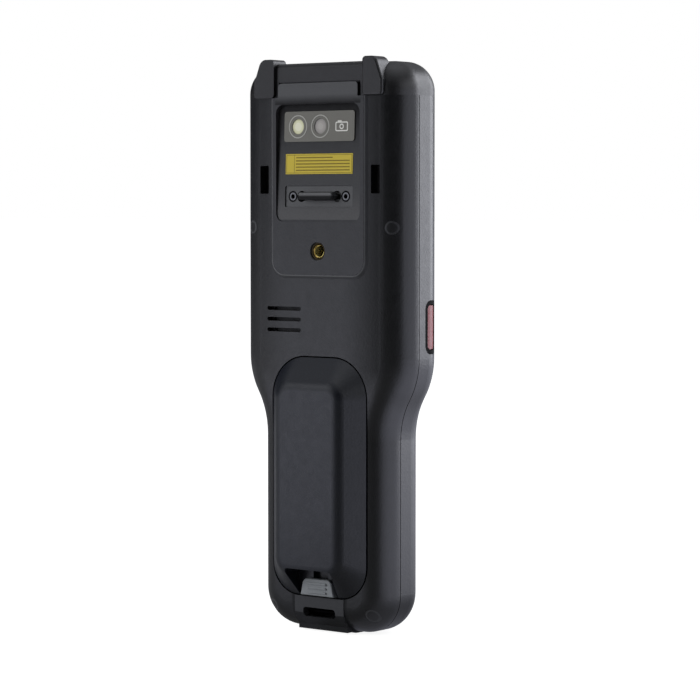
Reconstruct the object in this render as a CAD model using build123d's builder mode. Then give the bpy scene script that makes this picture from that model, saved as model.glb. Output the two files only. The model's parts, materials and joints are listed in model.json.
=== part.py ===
"""Portable barcode data terminal: a rugged handheld with a display, a keypad and a tilt-out battery.

Frame, in millimetres: the terminal stands on its bottom end. +Z runs along its length, +Y points out
of its back and +X is on the left of someone who looks at its back. The origin is under the middle of
the terminal, on the face it stands on. Every depth below is a y position, back face to front face.
"""
import os
from math import atan, cos, degrees, radians, sin, tan

from build123d import *

# ---- The body: a wide head, a narrow handle and one rounded edge all round ----
head_width = 74.0
handle_width = 57.8
body_top = 203.7
dock_rise = 0.6          # how far the dock boss stands out of the bottom end
dock_back_rise = 0.25    # and out of the back
body_depth = 25.0
neck_low = 70.0          # the handle's straight sides end here
neck_high = 99.0         # the head's straight sides start here
bottom_corner = 14.0
top_corner = 10.5
back_round = 9.5         # long rounded edge behind
front_round = 9.0        # long rounded edge in front
wall = 2.2
seam_from_back = 10.0    # parting line of the two housings, measured from the back face
groove_wide = 0.35       # groove along the parting line
groove_deep = 0.4

# ---- Depths that stand out of the body ----
hump_rise = 7.5          # battery hump behind the back face
key_rise = 1.5           # keys in front of the front face
overall_depth = hump_rise + body_depth + key_rise
crown_y = overall_depth / 2
back_y = crown_y - hump_rise
front_y = back_y - body_depth
seam_y = back_y - seam_from_back
inner_back_y = back_y - wall
inner_front_y = front_y + wall
body_bottom = dock_rise
head_half = head_width / 2
handle_half = handle_width / 2

# ---- Clearances ----
slip = 0.05              # between fixed pieces that are pressed or dropped into each other
run = 0.3                # round a piece that moves
key_run = 0.25           # round a key

# ---- Top cap with its two ears ----
cap_tall = 12.2
cap_seam = body_top - cap_tall
ear_inner = 19.9
ear_outer = 29.0
ear_stand = 1.6          # the ears stand this far over the top end
ear_top = body_top + ear_stand
ear_lean = 3.2           # their outer edge leans in by this
ear_lean_from = 5.5      # from this far above the cap's seam
ear_rise = 1.2
ear_deep = 7.6           # the ears reach this far forward over the top end
ear_shoulder = 3.2       # rounding of their outer upper corner
ear_corner = 1.4
ear_edge = 0.8
gasket_inset = 0.7
gasket_wide = 0.8
gasket_tall = 1.0
bridge_edge = 2.0

# ---- Raised plateau behind the head, with its ramped pocket ----
plateau_rise = 1.0
plateau_slope = 1.3      # width of the sloping edge round the plateau
plateau_half = 22.0
plateau_low = body_top - 76.7
plateau_shoulder = cap_seam - 2.0
plateau_corner = 6.5
tongue_half = 18.0
tongue_top = cap_seam + 5.0
tongue_corner = 1.2
tongue_reveal = 0.45     # shadow gap round the tongue, 1 mm deep
reveal_deep = 1.0
plateau_y = back_y + plateau_rise
pocket_half = 19.0
pocket_low = body_top - 56.5
pocket_high = body_top - 14.7
pocket_corner = 3.2
pocket_toe = 0.35        # depth at the lower end of the ramp
pocket_depth = 1.7       # at its upper end
ramp_angle = degrees(atan((pocket_depth - pocket_toe) / (pocket_high - pocket_low)))
pocket_wall = 2.0

# ---- Camera window, label and strap anchor, all set in the ramp ----
window_half = 15.9
window_low = pocket_low + 28.5
window_high = pocket_high - 2.5
window_thick = 0.9
window_lift = 0.4        # the window stands this far out of the ramp
window_corner = 1.0
flash_u = -9.65
camera_u = 0.5
optic_z = (window_low + window_high) / 2
optic_radius = 2.7
optic_thick = 0.7
optic_ledge = 0.6
camera_wide = 8.6
camera_deep = 5.0
flash_wide = 4.8
flash_deep = 1.4
label_half = 15.2
label_low = pocket_low + 17.0
label_high = label_low + 7.2
label_thick = 0.25
label_sink = 0.15
anchor_half = 15.3
anchor_low = pocket_low + 5.3
anchor_high = anchor_low + 7.5
anchor_thick = 1.2
anchor_sink = 0.4        # the plate lies this far under the ramp
anchor_corner = 0.6
anchor_screw_u = 12.0
anchor_head_radius = 1.9
anchor_shank_radius = 0.8
anchor_screw_long = 3.4
anchor_head_thick = 0.7
anchor_socket_radius = 0.8
bar_half = 7.6
bar_tall = 2.6
bar_thick = 1.2
bar_rise = 2.6           # of the bar's outer face over the anchor plate
bar_foot_radius = 1.1
bar_foot_u = 6.4
bar_corner = 0.6
bar_edge = 0.4
slot_end_radius = 2.0
slot_end_u = 8.0
slot_tall = 3.2
slot_floor = 1.0         # the slot goes this far into the housing under the plate

# ---- Threaded insert for a pistol grip, and the grip's two latch slots ----
insert_z = plateau_low + 9.7
insert_radius = 3.2
insert_thread_radius = 2.1
insert_long = 6.0
insert_sink = 0.5
insert_flare = 0.6       # countersink round the insert's mouth
insert_mouth_radius = 3.4
insert_boss_radius = 5.0
grip_slot_in = 23.2
grip_slot_out = 27.2
grip_slot_low = body_top - 46.5
grip_slot_high = grip_slot_low + 10.1
grip_slot_deep = 3.5
grip_slot_wall = 1.0
grip_slot_corner = 0.5

# ---- Housing screws under their plugs ----
upper_screw = (31.6, body_top - 58.5)
lower_screw = (22.5, 7.8)
plug_radius = 2.4
screw_head_radius = 1.9
screw_head_thick = 1.5
screw_radius = 1.0
screw_reach = 7.0        # thread below the parting line
screw_head_below = 6.5   # top of the head below the back face
boss_radius = 3.3

# ---- Loudspeaker ----
grille_in = 8.4
grille_out = 24.0
grille_z = (108.3, 112.15, 116.0)
grille_slot = 1.4
speaker_long = 15.0
speaker_tall = 11.5
speaker_thick = 3.4
speaker_corner = 1.5
speaker_rim = 1.2        # round its sunk cone
speaker_cone_deep = 0.8

# ---- Battery pack, its bay and its latch ----
pack_half = 21.4
pack_low = 13.0
pack_high = 99.0
pack_top_corner = 14.5
pack_bottom_corner = 11.5
pack_gap = 0.5           # all round the pack in its bay
pack_deep = 8.4          # below the back face
pack_chamfer = 3.0
bay_wall = 1.3
hump_slope = 7.2         # width of the slopes beside the crown
hump_end_slope = 9.5     # length of the slopes above and below it
hump_corner = 5.0
hump_edge = 6.0          # rounding of the crown's edge
hump_rim = 0.4           # height of the upright rim round the slopes
flange_sink = 0.35       # the pack's rim lies this far under the back face
hook_u = 7.5
hook_wide = 6.0
hook_long = 1.5
hook_thick = 1.4
hook_deep = 5.6          # outer face of the hooks below the pivot
latch_low_half = 7.6
latch_high_half = 6.3
latch_low = 13.3
latch_high = 19.4
latch_corner = 2.2
latch_thick = 2.2
latch_travel = 2.0
latch_neck_half = 3.2
latch_wing_half = 5.0
latch_wing_thick = 1.2
latch_neck_thick = 1.0
latch_edge = 0.5
slide_gap = 0.15         # round the latch and its guide
latch_rise = 1.5         # outer face of the latch over the back face
scoop_low_half = 8.6
scoop_high_half = 11.0
scoop_high = 23.3
scoop_corner = 1.6
contact_count = 5
contact_pitch = 3.0
contact_wide = 1.6
contact_tall = 4.0
contact_thick = 0.3
contact_z = 91.0
connector_half = 8.5
connector_tall = 6.0
connector_deep = 2.2
pin_radius = 0.4

# ---- Dock boss round the bottom end, strap slot and dock contacts ----
dock_half = 11.2
dock_from_front = 6.0    # the boss starts this far behind the front face
dock_back_edge = 8.5     # rounding of its lower edges
dock_front_edge = 1.5
dock_side_edge = 0.2
strap_half = 7.3
strap_low = 5.4
strap_high = 8.8
strap_corner = 1.2
strap_deep = 7.5
strap_room = 1.6         # the slot widens by this behind its mouth
strap_pin_radius = 1.0
strap_pin_deep = 4.0
strap_pin_half = 9.6
dock_pad_count = 8
dock_pad_pitch = 2.0
dock_pad_wide = 1.2
dock_pad_tall = 1.6
dock_port_half = 9.0
dock_port_deep = 6.0
dock_port_tall = 2.4
dock_sink = 0.5
dock_port_from_seam = 3.2

# ---- Side triggers ----
trigger_low = 102.3
trigger_high = 117.8
trigger_from_seam = 5.4
trigger_deep = 4.6       # size along the depth of the body
trigger_corner = 1.4
trigger_sink = 0.3
trigger_travel = 0.9
bezel_wide = 1.5         # soft frame let into the side round each trigger
bezel_thick = 0.9
trigger_flange = 0.9     # how far the flange laps behind the wall
trigger_flange_thick = 1.2
plunger_radius = 1.2
switch_thick = 2.4
switch_half = 3.0
switch_shelf = 1.4
trigger_reach = 6.3      # from the wall's inner face to the switch shelf

# ---- Display and lens ----
lens_half = 27.4
lens_low = neck_high + 1.0
lens_high = cap_seam - 1.5
lens_corner = 4.0
lens_thick = 1.2
lens_edge = 0.25
display_half = 24.9
display_low = lens_low + 2.2
display_high = lens_high - 2.0
display_thick = 2.8
chassis_thick = 0.8
chassis_half = 26.7
chassis_rim = 10.0       # of its window, from the board's ends
chassis_corner = 3.0
board_gap = 2.0
board_thick = 1.2
board_half = 24.5
board_low = display_low + 3.8
board_high = display_high - 8.0
standoff_radius = 1.8
chip_wide = 14.0
chip_pitch = 18.0
chip_thick = 1.6
receiver_half = 5.0
receiver_tall = 1.2
mesh_lap = 1.0           # of the earpiece mesh round its slot
mesh_thick = 0.4
receiver_z = cap_seam + 1.9
light_radius = 1.0
light_collar = 0.6       # its collar behind the wall laps and is as thick as this
light_x = 16.0
light_z = receiver_z

# ---- Scan engine and scan window in the top end ----
scan_half = 16.0
scan_deep = 11.0
scan_thick = 1.0
scan_sink = 0.5
scan_corner = 2.0
scan_y = 0.5             # middle of the window, from the middle of the depth
engine_half = 10.8
engine_deep = 11.0
engine_tall = 12.8
engine_eye = 1.0         # height of the two eyes on the engine
engine_edge = 0.8

# ---- Keypad ----
key_travel = 0.8
key_flange = 0.7
key_flange_lap = 0.7
key_edge = 0.6
key_corner = 1.6
column_pitch = 13.6
row_pitch = 11.2
row_z = 18.4             # lowest row
key_size = (11.2, 7.6)
scan_key_size = (17.0, 10.4)
scan_key_z = 87.4
side_key_size = (9.0, 9.0)
side_key_x = 16.4
mat_thick = 0.7
mat_half = 20.2
mat_low = 12.4
mat_high = 94.6
keyboard_thick = 1.0
keyboard_half = 23.6
rest_rib = 1.2

key_rows = [
    ("key_power", "key_light", "key_enter"),
    ("key_star", "key_0", "key_hash"),
    ("key_7", "key_8", "key_9"),
    ("key_4", "key_5", "key_6"),
    ("key_1", "key_2", "key_3"),
    ("key_back", "key_home", "key_menu"),
]


def from_back(y):
    """Plane across the body at depth y, seen from behind: u runs towards -X, v runs up."""
    return Plane(origin=(0, y, 0), x_dir=(-1, 0, 0), z_dir=(0, 1, 0))


def from_front(y):
    """Plane across the body at depth y, seen from the front: u runs towards +X, v runs up."""
    return Plane(origin=(0, y, 0), x_dir=(1, 0, 0), z_dir=(0, -1, 0))


def ramp_depth(z):
    """Depth y of the ramped floor at height z."""
    return plateau_y - pocket_toe - (z - pocket_low) * tan(radians(ramp_angle))


def on_ramp(z, lift=0.0):
    """Plane on the ramped floor with its origin at height z, lifted along its normal."""
    tilt = radians(ramp_angle)
    normal = Vector(0, cos(tilt), sin(tilt))
    return Plane(origin=Vector(0, ramp_depth(z), z) + normal * lift, x_dir=(-1, 0, 0), z_dir=normal)


def body_outline(inset=0.0):
    """Outline of the body: straight handle, S-curve of two tangent arcs each side, straight head.
    With an inset, the outline that runs this far inside it."""
    turn = 2 * atan((head_half - handle_half) / (neck_high - neck_low))
    bend = ((handle_half + head_half) / 2 - inset * cos(turn),
            (neck_low + neck_high) / 2 + inset * sin(turn))
    narrow, wide = handle_half - inset, head_half - inset
    low, high = body_bottom + inset, body_top - inset
    low_corner, high_corner = bottom_corner - inset, top_corner - inset
    with BuildSketch() as outline:
        with BuildLine():
            Line((0, low), (narrow - low_corner, low))
            TangentArc((narrow - low_corner, low), (narrow, low + low_corner), tangent=(1, 0))
            Line((narrow, low + low_corner), (narrow, neck_low))
            TangentArc((narrow, neck_low), bend, tangent=(0, 1))
            TangentArc((wide, neck_high), bend, tangent=(0, -1))
            Line((wide, neck_high), (wide, high - high_corner))
            TangentArc((wide, high - high_corner), (wide - high_corner, high), tangent=(0, 1))
            Line((wide - high_corner, high), (0, high))
            mirror(about=Plane.YZ)
        make_face()
    return outline.sketch


def body_blank(inset=0.0):
    """The closed body; with an inset, the room that is left inside a wall of that thickness."""
    with BuildPart() as blank:
        with BuildSketch(from_back(front_y + inset)):
            add(body_outline(inset))
        extrude(amount=body_depth - 2 * inset)
        fillet(blank.faces().sort_by(Axis.Y)[-1].edges(), back_round - inset)
        fillet(blank.faces().sort_by(Axis.Y)[0].edges(), front_round - inset)
    return blank.part


def pack_outline(gap=0.0):
    """Outline of the battery pack seen from behind, or of its bay with a gap round the pack."""
    half = pack_half - pack_gap / 2 + gap
    low, high = pack_low + pack_gap / 2 - gap, pack_high - pack_gap / 2 + gap
    top, bottom = pack_top_corner + gap, pack_bottom_corner + gap
    with BuildSketch() as outline:
        with BuildLine():
            Line((0, low), (half - bottom, low))
            TangentArc((half - bottom, low), (half, low + bottom), tangent=(1, 0))
            Line((half, low + bottom), (half, high - top))
            TangentArc((half, high - top), (half - top, high), tangent=(0, 1))
            Line((half - top, high), (0, high))
            mirror(about=Plane.YZ)
        make_face()
    return outline.sketch


def dog_bone():
    """Slot with two round ends, for the strap bar's feet."""
    with BuildSketch() as slot:
        Rectangle(2 * slot_end_u, slot_tall)
        with Locations((-slot_end_u, 0), (slot_end_u, 0)):
            Circle(slot_end_radius)
    return slot.sketch


def save(piece, name):
    """Label a finished piece and write it."""
    piece.part.label = name
    export_step(piece.part, f"parts/{name}.step")


os.makedirs("parts", exist_ok=True)
outer = body_blank()
room = body_blank(wall)
bay_floor_y = back_y - pack_deep - run
window_z = (window_low + window_high) / 2
label_z = (label_low + label_high) / 2
anchor_z = (anchor_low + anchor_high) / 2
strap_z = (strap_low + strap_high) / 2
lens_z = (lens_low + lens_high) / 2
display_z = (display_low + display_high) / 2
board_z = (board_low + board_high) / 2
pivot_y = back_y - flange_sink
hook_mid_y = pivot_y - hook_deep - hook_thick / 2
strap_pin_y = back_y - strap_pin_deep
dock_front_y = front_y + dock_from_front
window_floor = window_lift - window_thick   # height of the window's back over the ramp
anchor_floor = -anchor_sink - anchor_thick  # height of the anchor plate's back over the ramp
dock_y = seam_y - dock_port_from_seam
trigger_y = seam_y - trigger_from_seam - trigger_deep / 2
trigger_z = (trigger_low + trigger_high) / 2
grip_slot_spots = [(side * (grip_slot_in + grip_slot_out) / 2,
                    (grip_slot_low + grip_slot_high) / 2) for side in (-1, 1)]
contact_spots = [((i - (contact_count - 1) / 2) * contact_pitch, contact_z)
                 for i in range(contact_count)]
screw_spots = [(side * x, z) for x, z in (upper_screw, lower_screw) for side in (-1, 1)]

# ---------------------------------------------------------------- shared forms
with BuildPart() as bay_box:
    with BuildSketch(from_back(bay_floor_y - bay_wall)):
        add(pack_outline(pack_gap + bay_wall))
    extrude(amount=back_y - bay_floor_y + bay_wall)
    add(outer, mode=Mode.INTERSECT)

with BuildPart() as bay_room:
    with BuildSketch(from_back(bay_floor_y)):
        add(pack_outline(pack_gap))
    extrude(amount=2 * pack_deep)

with BuildPart() as dock_boss:
    with BuildSketch(Plane.YZ.offset(-dock_half)):
        with Locations(((dock_front_y + back_y + dock_back_rise) / 2, pack_low / 2)):
            Rectangle(back_y + dock_back_rise - dock_front_y, pack_low)
    extrude(amount=2 * dock_half)
    low_edges = dock_boss.edges().filter_by(Axis.X).group_by(Axis.Z)[0].sort_by(Axis.Y)
    fillet(low_edges[-1], dock_back_edge)
    fillet(low_edges[0], dock_front_edge)
    fillet(dock_boss.faces().sort_by(Axis.X)[0].edges() + dock_boss.faces().sort_by(Axis.X)[-1].edges(),
           dock_side_edge)

with BuildPart() as plateau:
    with BuildSketch(from_back(back_y)):
        with Locations((0, (plateau_low + ear_top) / 2)):
            RectangleRounded(2 * plateau_half, ear_top - plateau_low, plateau_corner)
    extrude(amount=plateau_rise, taper=degrees(atan(plateau_slope / plateau_rise)))
    split(bisect_by=Plane.XY.offset(cap_seam), keep=Keep.BOTTOM)
    with BuildSketch(from_back(inner_back_y)):
        with Locations((0, (plateau_shoulder + tongue_top) / 2)):
            Rectangle(2 * tongue_half, tongue_top - plateau_shoulder)
        fillet(vertices().group_by(Axis.Y)[-1], tongue_corner)
    extrude(amount=wall + plateau_rise)

with BuildPart() as screw_bosses:
    with BuildSketch(from_back(front_y)):
        with Locations(*screw_spots):
            Circle(boss_radius)
    extrude(amount=body_depth)
    add(outer, mode=Mode.INTERSECT)

with BuildPart() as gasket_ring:
    with BuildSketch(from_back(seam_y - gasket_tall / 2)):
        add(body_outline(gasket_inset))
        add(body_outline(gasket_inset + gasket_wide), mode=Mode.SUBTRACT)
    extrude(amount=gasket_tall)
    split(bisect_by=Plane.XY.offset(cap_seam), keep=Keep.BOTTOM)

with BuildPart() as seam_groove:
    with BuildSketch(from_back(seam_y - groove_wide / 2)):
        add(body_outline(-2 * dock_rise))
        add(body_outline(groove_deep), mode=Mode.SUBTRACT)
    extrude(amount=groove_wide)

bezel_seats = []
for side in (-1, 1):
    with BuildPart() as seat:
        with BuildSketch(Plane.YZ.offset(side * (head_half - 2 * wall))):
            with Locations((trigger_y, trigger_z)):
                RectangleRounded(trigger_deep + 2 * (run + bezel_wide),
                                 trigger_high - trigger_low + 2 * (run + bezel_wide),
                                 trigger_corner + run + bezel_wide)
        extrude(amount=side * 3 * wall)
        add(body_blank(bezel_thick), mode=Mode.SUBTRACT)
    bezel_seats.append(seat.part)

# ---------------------------------------------------------------- rear housing
pocket_block_y = ramp_depth(pocket_high) - pocket_wall
insert_mouth_y = plateau_y - insert_sink
insert_base_y = insert_mouth_y - insert_long
head_top_y = back_y - screw_head_below

with BuildPart() as rear_housing:
    add(outer)
    add(dock_boss.part)
    add(room, mode=Mode.SUBTRACT)
    add(bay_box.part)
    add(screw_bosses.part)
    with BuildSketch(from_back(pocket_block_y)):
        with Locations((0, (pocket_low + pocket_high) / 2)):
            Rectangle(2 * (pocket_half + pocket_wall), pocket_high - pocket_low + 2 * pocket_wall)
    extrude(amount=back_y - pocket_block_y)
    with BuildSketch(from_back(insert_base_y - wall / 2)):
        with Locations((0, insert_z)):
            Circle(insert_boss_radius)
    extrude(amount=back_y - insert_base_y)
    with BuildSketch(from_back(back_y - grip_slot_deep - grip_slot_wall)):
        with Locations(*grip_slot_spots):
            Rectangle(grip_slot_out - grip_slot_in + 2 * grip_slot_wall,
                      grip_slot_high - grip_slot_low + 2 * grip_slot_wall)
    extrude(amount=grip_slot_deep - wall / 2 + grip_slot_wall)
    with BuildSketch(from_back(back_y - strap_deep - wall)):
        with Locations((0, (body_bottom + pack_low) / 2)):
            Rectangle(2 * (strap_half + strap_room + wall), pack_low - body_bottom)
    extrude(amount=strap_deep)
    split(bisect_by=from_back(seam_y), keep=Keep.TOP)
    split(bisect_by=Plane.XY.offset(cap_seam), keep=Keep.BOTTOM)
    add(plateau.part)
    # battery bay, with slots for the pack's hooks and an opening for its connector
    add(bay_room.part, mode=Mode.SUBTRACT)
    with BuildSketch(Plane.XY.offset(pack_high - hook_long - 2 * run)):
        with Locations(*[(side * hook_u, hook_mid_y) for side in (-1, 1)]):
            Rectangle(hook_wide + 2 * run, hook_thick + 3 * run)
    extrude(amount=hook_long + bay_wall + 4 * run, mode=Mode.SUBTRACT)
    with BuildSketch(from_back(bay_floor_y)):
        with Locations((0, contact_z)):
            Rectangle(2 * (connector_half + slip), connector_tall + 2 * slip)
    extrude(amount=-2 * bay_wall, mode=Mode.SUBTRACT)
    # ramped pocket and what is let into its floor
    with BuildSketch(on_ramp(pocket_low)):
        with Locations((0, (pocket_high - pocket_low) / 2)):
            RectangleRounded(2 * pocket_half, pocket_high - pocket_low, pocket_corner)
    extrude(amount=2 * plateau_rise + pocket_depth, mode=Mode.SUBTRACT)
    with BuildSketch(on_ramp(window_z, window_floor)):
        RectangleRounded(2 * (window_half + slip), window_high - window_low + 2 * slip, window_corner)
    extrude(amount=2 * window_thick, mode=Mode.SUBTRACT)
    with BuildSketch(on_ramp(optic_z)):
        with Locations((flash_u, 0), (camera_u, 0)):
            Circle(optic_radius - optic_ledge)
    extrude(amount=-wall - pocket_wall, mode=Mode.SUBTRACT)
    with BuildSketch(on_ramp(label_z, -label_sink)):
        Rectangle(2 * (label_half + slip), label_high - label_low + 2 * slip)
    extrude(amount=2 * label_thick, mode=Mode.SUBTRACT)
    with BuildSketch(on_ramp(anchor_z, anchor_floor)):
        RectangleRounded(2 * (anchor_half + slip), anchor_high - anchor_low + 2 * slip, anchor_corner)
    extrude(amount=2 * anchor_thick, mode=Mode.SUBTRACT)
    with BuildSketch(on_ramp(anchor_z, anchor_floor - slot_floor)):
        add(dog_bone())
    extrude(amount=2 * slot_floor, mode=Mode.SUBTRACT)
    with BuildSketch(on_ramp(anchor_z, -anchor_sink)):
        with Locations(*[(side * anchor_screw_u, 0) for side in (-1, 1)]):
            Circle(anchor_shank_radius)
    extrude(amount=-anchor_screw_long, mode=Mode.SUBTRACT)
    # threaded insert's hole and its wider mouth, grip latch slots
    with BuildSketch(from_back(insert_base_y)):
        with Locations((0, insert_z)):
            Circle(insert_radius)
    extrude(amount=insert_long, mode=Mode.SUBTRACT)
    with BuildSketch(from_back(insert_mouth_y)):
        with Locations((0, insert_z)):
            Circle(insert_mouth_radius)
    extrude(amount=2 * insert_sink, mode=Mode.SUBTRACT)
    with BuildSketch(from_back(back_y - grip_slot_deep)):
        with Locations(*grip_slot_spots):
            RectangleRounded(grip_slot_out - grip_slot_in, grip_slot_high - grip_slot_low,
                             grip_slot_corner)
    extrude(amount=2 * grip_slot_deep, mode=Mode.SUBTRACT)
    # housing screws: a clearance hole for the shank and a counterbore for head and plug
    with BuildSketch(from_back(seam_y)):
        with Locations(*screw_spots):
            Circle(screw_radius + slip)
    extrude(amount=body_depth, mode=Mode.SUBTRACT)
    with BuildSketch(from_back(head_top_y - screw_head_thick)):
        with Locations(*screw_spots):
            Circle(plug_radius + slip)
    extrude(amount=body_depth, mode=Mode.SUBTRACT)
    # speaker grille, strap slot
    with BuildSketch(from_back(inner_back_y)):
        with Locations(*[(-(grille_in + grille_out) / 2, z) for z in grille_z]):
            SlotOverall(grille_out - grille_in, grille_slot)
    extrude(amount=2 * wall, mode=Mode.SUBTRACT)
    with BuildSketch(from_back(back_y - strap_deep)):
        with Locations((0, strap_z)):
            RectangleRounded(2 * strap_half, strap_high - strap_low, strap_corner)
    extrude(amount=2 * strap_deep, mode=Mode.SUBTRACT)
    with BuildSketch(from_back(back_y - strap_deep)):
        with Locations((0, strap_z)):
            Rectangle(2 * strap_half, strap_high - strap_low + 2 * strap_room)
    extrude(amount=strap_deep - wall, mode=Mode.SUBTRACT)
    with BuildSketch(Plane.YZ.offset(-strap_pin_half)):
        with Locations((strap_pin_y, strap_z)):
            Circle(strap_pin_radius)
    extrude(amount=2 * strap_pin_half, mode=Mode.SUBTRACT)
    add(gasket_ring.part, mode=Mode.SUBTRACT)
    add(seam_groove.part, mode=Mode.SUBTRACT)
save(rear_housing, "rear_housing")

# ---------------------------------------------------------------- front housing
lens_back_y = front_y + lens_thick
display_back_y = lens_back_y + display_thick
chassis_back_y = display_back_y + chassis_thick
board_y = chassis_back_y + board_gap
flange_back_y = inner_front_y + slip + key_flange
mat_y = flange_back_y + key_travel + slip
keyboard_y = mat_y + mat_thick
shelf_x = head_half - wall - trigger_reach
keys = [(name, (column - 1) * column_pitch, row_z + row * row_pitch, key_size)
        for row, names in enumerate(key_rows) for column, name in enumerate(names)]
keys += [("key_scan", 0, scan_key_z, scan_key_size),
         ("key_call", -side_key_x, scan_key_z, side_key_size),
         ("key_end", side_key_x, scan_key_z, side_key_size)]

with BuildPart() as front_housing:
    add(outer)
    add(dock_boss.part)
    add(room, mode=Mode.SUBTRACT)
    add(screw_bosses.part)
    # ribs that carry the keypad board, shelves that carry the trigger switches
    with BuildSketch(from_front(keyboard_y)):
        with Locations(*[(side * (keyboard_half - rest_rib / 2), (mat_low + mat_high) / 2)
                         for side in (-1, 1)]):
            Rectangle(rest_rib, mat_high - mat_low)
    extrude(amount=keyboard_y - inner_front_y + wall / 2)
    with BuildSketch(from_front(trigger_y + switch_half + 1)):
        with Locations(*[(side * (shelf_x - switch_shelf / 2), trigger_z) for side in (-1, 1)]):
            Rectangle(switch_shelf, 4 * switch_half)
    extrude(amount=trigger_y + switch_half + 1 - inner_front_y + wall / 2)
    with BuildSketch(from_front(seam_y)):
        with Locations((0, dock_port_deep / 2 + wall / 2)):
            Rectangle(2 * (dock_port_half + wall), dock_port_deep + wall)
    extrude(amount=seam_y - dock_y + dock_port_tall / 2 + wall)
    split(bisect_by=from_back(seam_y), keep=Keep.BOTTOM)
    split(bisect_by=Plane.XY.offset(cap_seam), keep=Keep.BOTTOM)
    with BuildSketch(from_front(lens_back_y)):
        with Locations((0, lens_z)):
            RectangleRounded(2 * (lens_half + slip), lens_high - lens_low + 2 * slip, lens_corner)
    extrude(amount=2 * lens_thick, mode=Mode.SUBTRACT)
    with BuildSketch(from_front(seam_y)):
        with Locations((0, display_z)):
            Rectangle(2 * (display_half + slip), display_high - display_low + 2 * slip)
    extrude(amount=body_depth, mode=Mode.SUBTRACT)
    for name, x, z, size in keys:
        with BuildSketch(from_front(inner_front_y)):
            with Locations((x, z)):
                RectangleRounded(size[0] + 2 * key_run, size[1] + 2 * key_run, key_corner + key_run)
        extrude(amount=2 * wall, mode=Mode.SUBTRACT)
    with BuildSketch(Plane.YZ.offset(-head_half)):
        with Locations((trigger_y, trigger_z)):
            RectangleRounded(trigger_deep + 2 * run, trigger_high - trigger_low + 2 * run,
                             trigger_corner + run)
    extrude(amount=2 * wall, mode=Mode.SUBTRACT)
    with BuildSketch(Plane.YZ.offset(head_half)):
        with Locations((trigger_y, trigger_z)):
            RectangleRounded(trigger_deep + 2 * run, trigger_high - trigger_low + 2 * run,
                             trigger_corner + run)
    extrude(amount=-2 * wall, mode=Mode.SUBTRACT)
    with BuildSketch(from_back(seam_y)):
        with Locations(*screw_spots):
            Circle(screw_radius)
    extrude(amount=-screw_reach, mode=Mode.SUBTRACT)
    with BuildSketch(Plane.XY):
        with Locations((0, dock_y)):
            Rectangle(2 * (dock_port_half + slip), dock_port_tall + 2 * slip)
    extrude(amount=dock_port_deep, mode=Mode.SUBTRACT)
    add(gasket_ring.part, mode=Mode.SUBTRACT)
    add(seam_groove.part, mode=Mode.SUBTRACT)
    for seat in bezel_seats:
        add(seat, mode=Mode.SUBTRACT)
save(front_housing, "front_housing")

# ---------------------------------------------------------------- top cap
scan_mid_y = (front_y + back_y) / 2 + scan_y
with BuildPart() as bridge:
    with BuildSketch(from_front(back_y)):
        with Locations((0, (cap_seam + body_top) / 2)):
            Rectangle(2 * ear_inner, body_top - cap_seam)
    extrude(amount=body_depth - front_round)
    fillet(bridge.edges().filter_by(Axis.X).group_by(Axis.Z)[-1].sort_by(Axis.Y)[-1], bridge_edge)

with BuildPart() as ears:
    with BuildSketch(from_back(back_y + ear_rise - ear_deep)) as ear_faces:
        with BuildLine():
            Polyline((ear_inner, cap_seam), (ear_outer, cap_seam), (ear_outer, cap_seam + ear_lean_from),
                     (ear_outer - ear_lean, ear_top), (ear_inner, ear_top), close=True)
        make_face()
        mirror(about=Plane.YZ)
        ear_tops = ear_faces.vertices().group_by(Axis.Y)[-1].sort_by(Axis.X)
        fillet((ear_tops[0], ear_tops[-1]), ear_shoulder)
        fillet([v for v in ear_faces.vertices() if abs(v.X) < ear_inner + slip
                or v.Y < cap_seam + slip], ear_corner)
    extrude(amount=ear_deep)
    fillet(ears.faces().sort_by(Axis.Y)[-1].edges(), ear_edge)
    fillet(ears.faces().filter_by(Axis.Y).group_by(Axis.Y)[0].edges(), ear_edge)

with BuildPart() as top_cap:
    add(outer)
    split(bisect_by=Plane.XY.offset(cap_seam), keep=Keep.TOP)
    add(bridge.part)
    add(ears.part)
    add(room, mode=Mode.SUBTRACT)
    with BuildSketch(from_back(inner_back_y - slip)):
        with Locations((0, (cap_seam + tongue_top) / 2)):
            Rectangle(2 * (tongue_half + slip), tongue_top - cap_seam + 2 * slip)
    extrude(amount=2 * wall, mode=Mode.SUBTRACT)
    with BuildSketch(from_back(back_y - reveal_deep)):
        with Locations((0, (cap_seam + tongue_top) / 2)):
            Rectangle(2 * (tongue_half + tongue_reveal), tongue_top - cap_seam + 2 * tongue_reveal)
    extrude(amount=wall, mode=Mode.SUBTRACT)
    with BuildSketch(Plane.XY.offset(body_top - scan_sink - scan_thick)):
        with Locations((0, scan_mid_y)):
            RectangleRounded(2 * (scan_half + slip), scan_deep + 2 * slip, scan_corner)
    extrude(amount=2 * wall, mode=Mode.SUBTRACT)
    with BuildSketch(Plane.XY.offset(cap_seam)):
        with Locations((0, scan_mid_y)):
            Rectangle(2 * scan_half - 2, scan_deep - 2)
    extrude(amount=2 * body_depth, mode=Mode.SUBTRACT)
    with BuildSketch(from_front(inner_front_y + wall)):
        with Locations((0, receiver_z)):
            SlotOverall(2 * receiver_half, receiver_tall)
    extrude(amount=2 * wall, mode=Mode.SUBTRACT)
    with BuildSketch(from_front(inner_front_y + wall)):
        with Locations((light_x, light_z)):
            Circle(light_radius)
    extrude(amount=2 * wall, mode=Mode.SUBTRACT)
save(top_cap, "top_cap")

with BuildPart() as scan_window:
    with BuildSketch(Plane.XY.offset(body_top - scan_sink - scan_thick)):
        with Locations((0, scan_mid_y)):
            RectangleRounded(2 * scan_half, scan_deep, scan_corner)
    extrude(amount=scan_thick)
save(scan_window, "scan_window")

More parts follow.
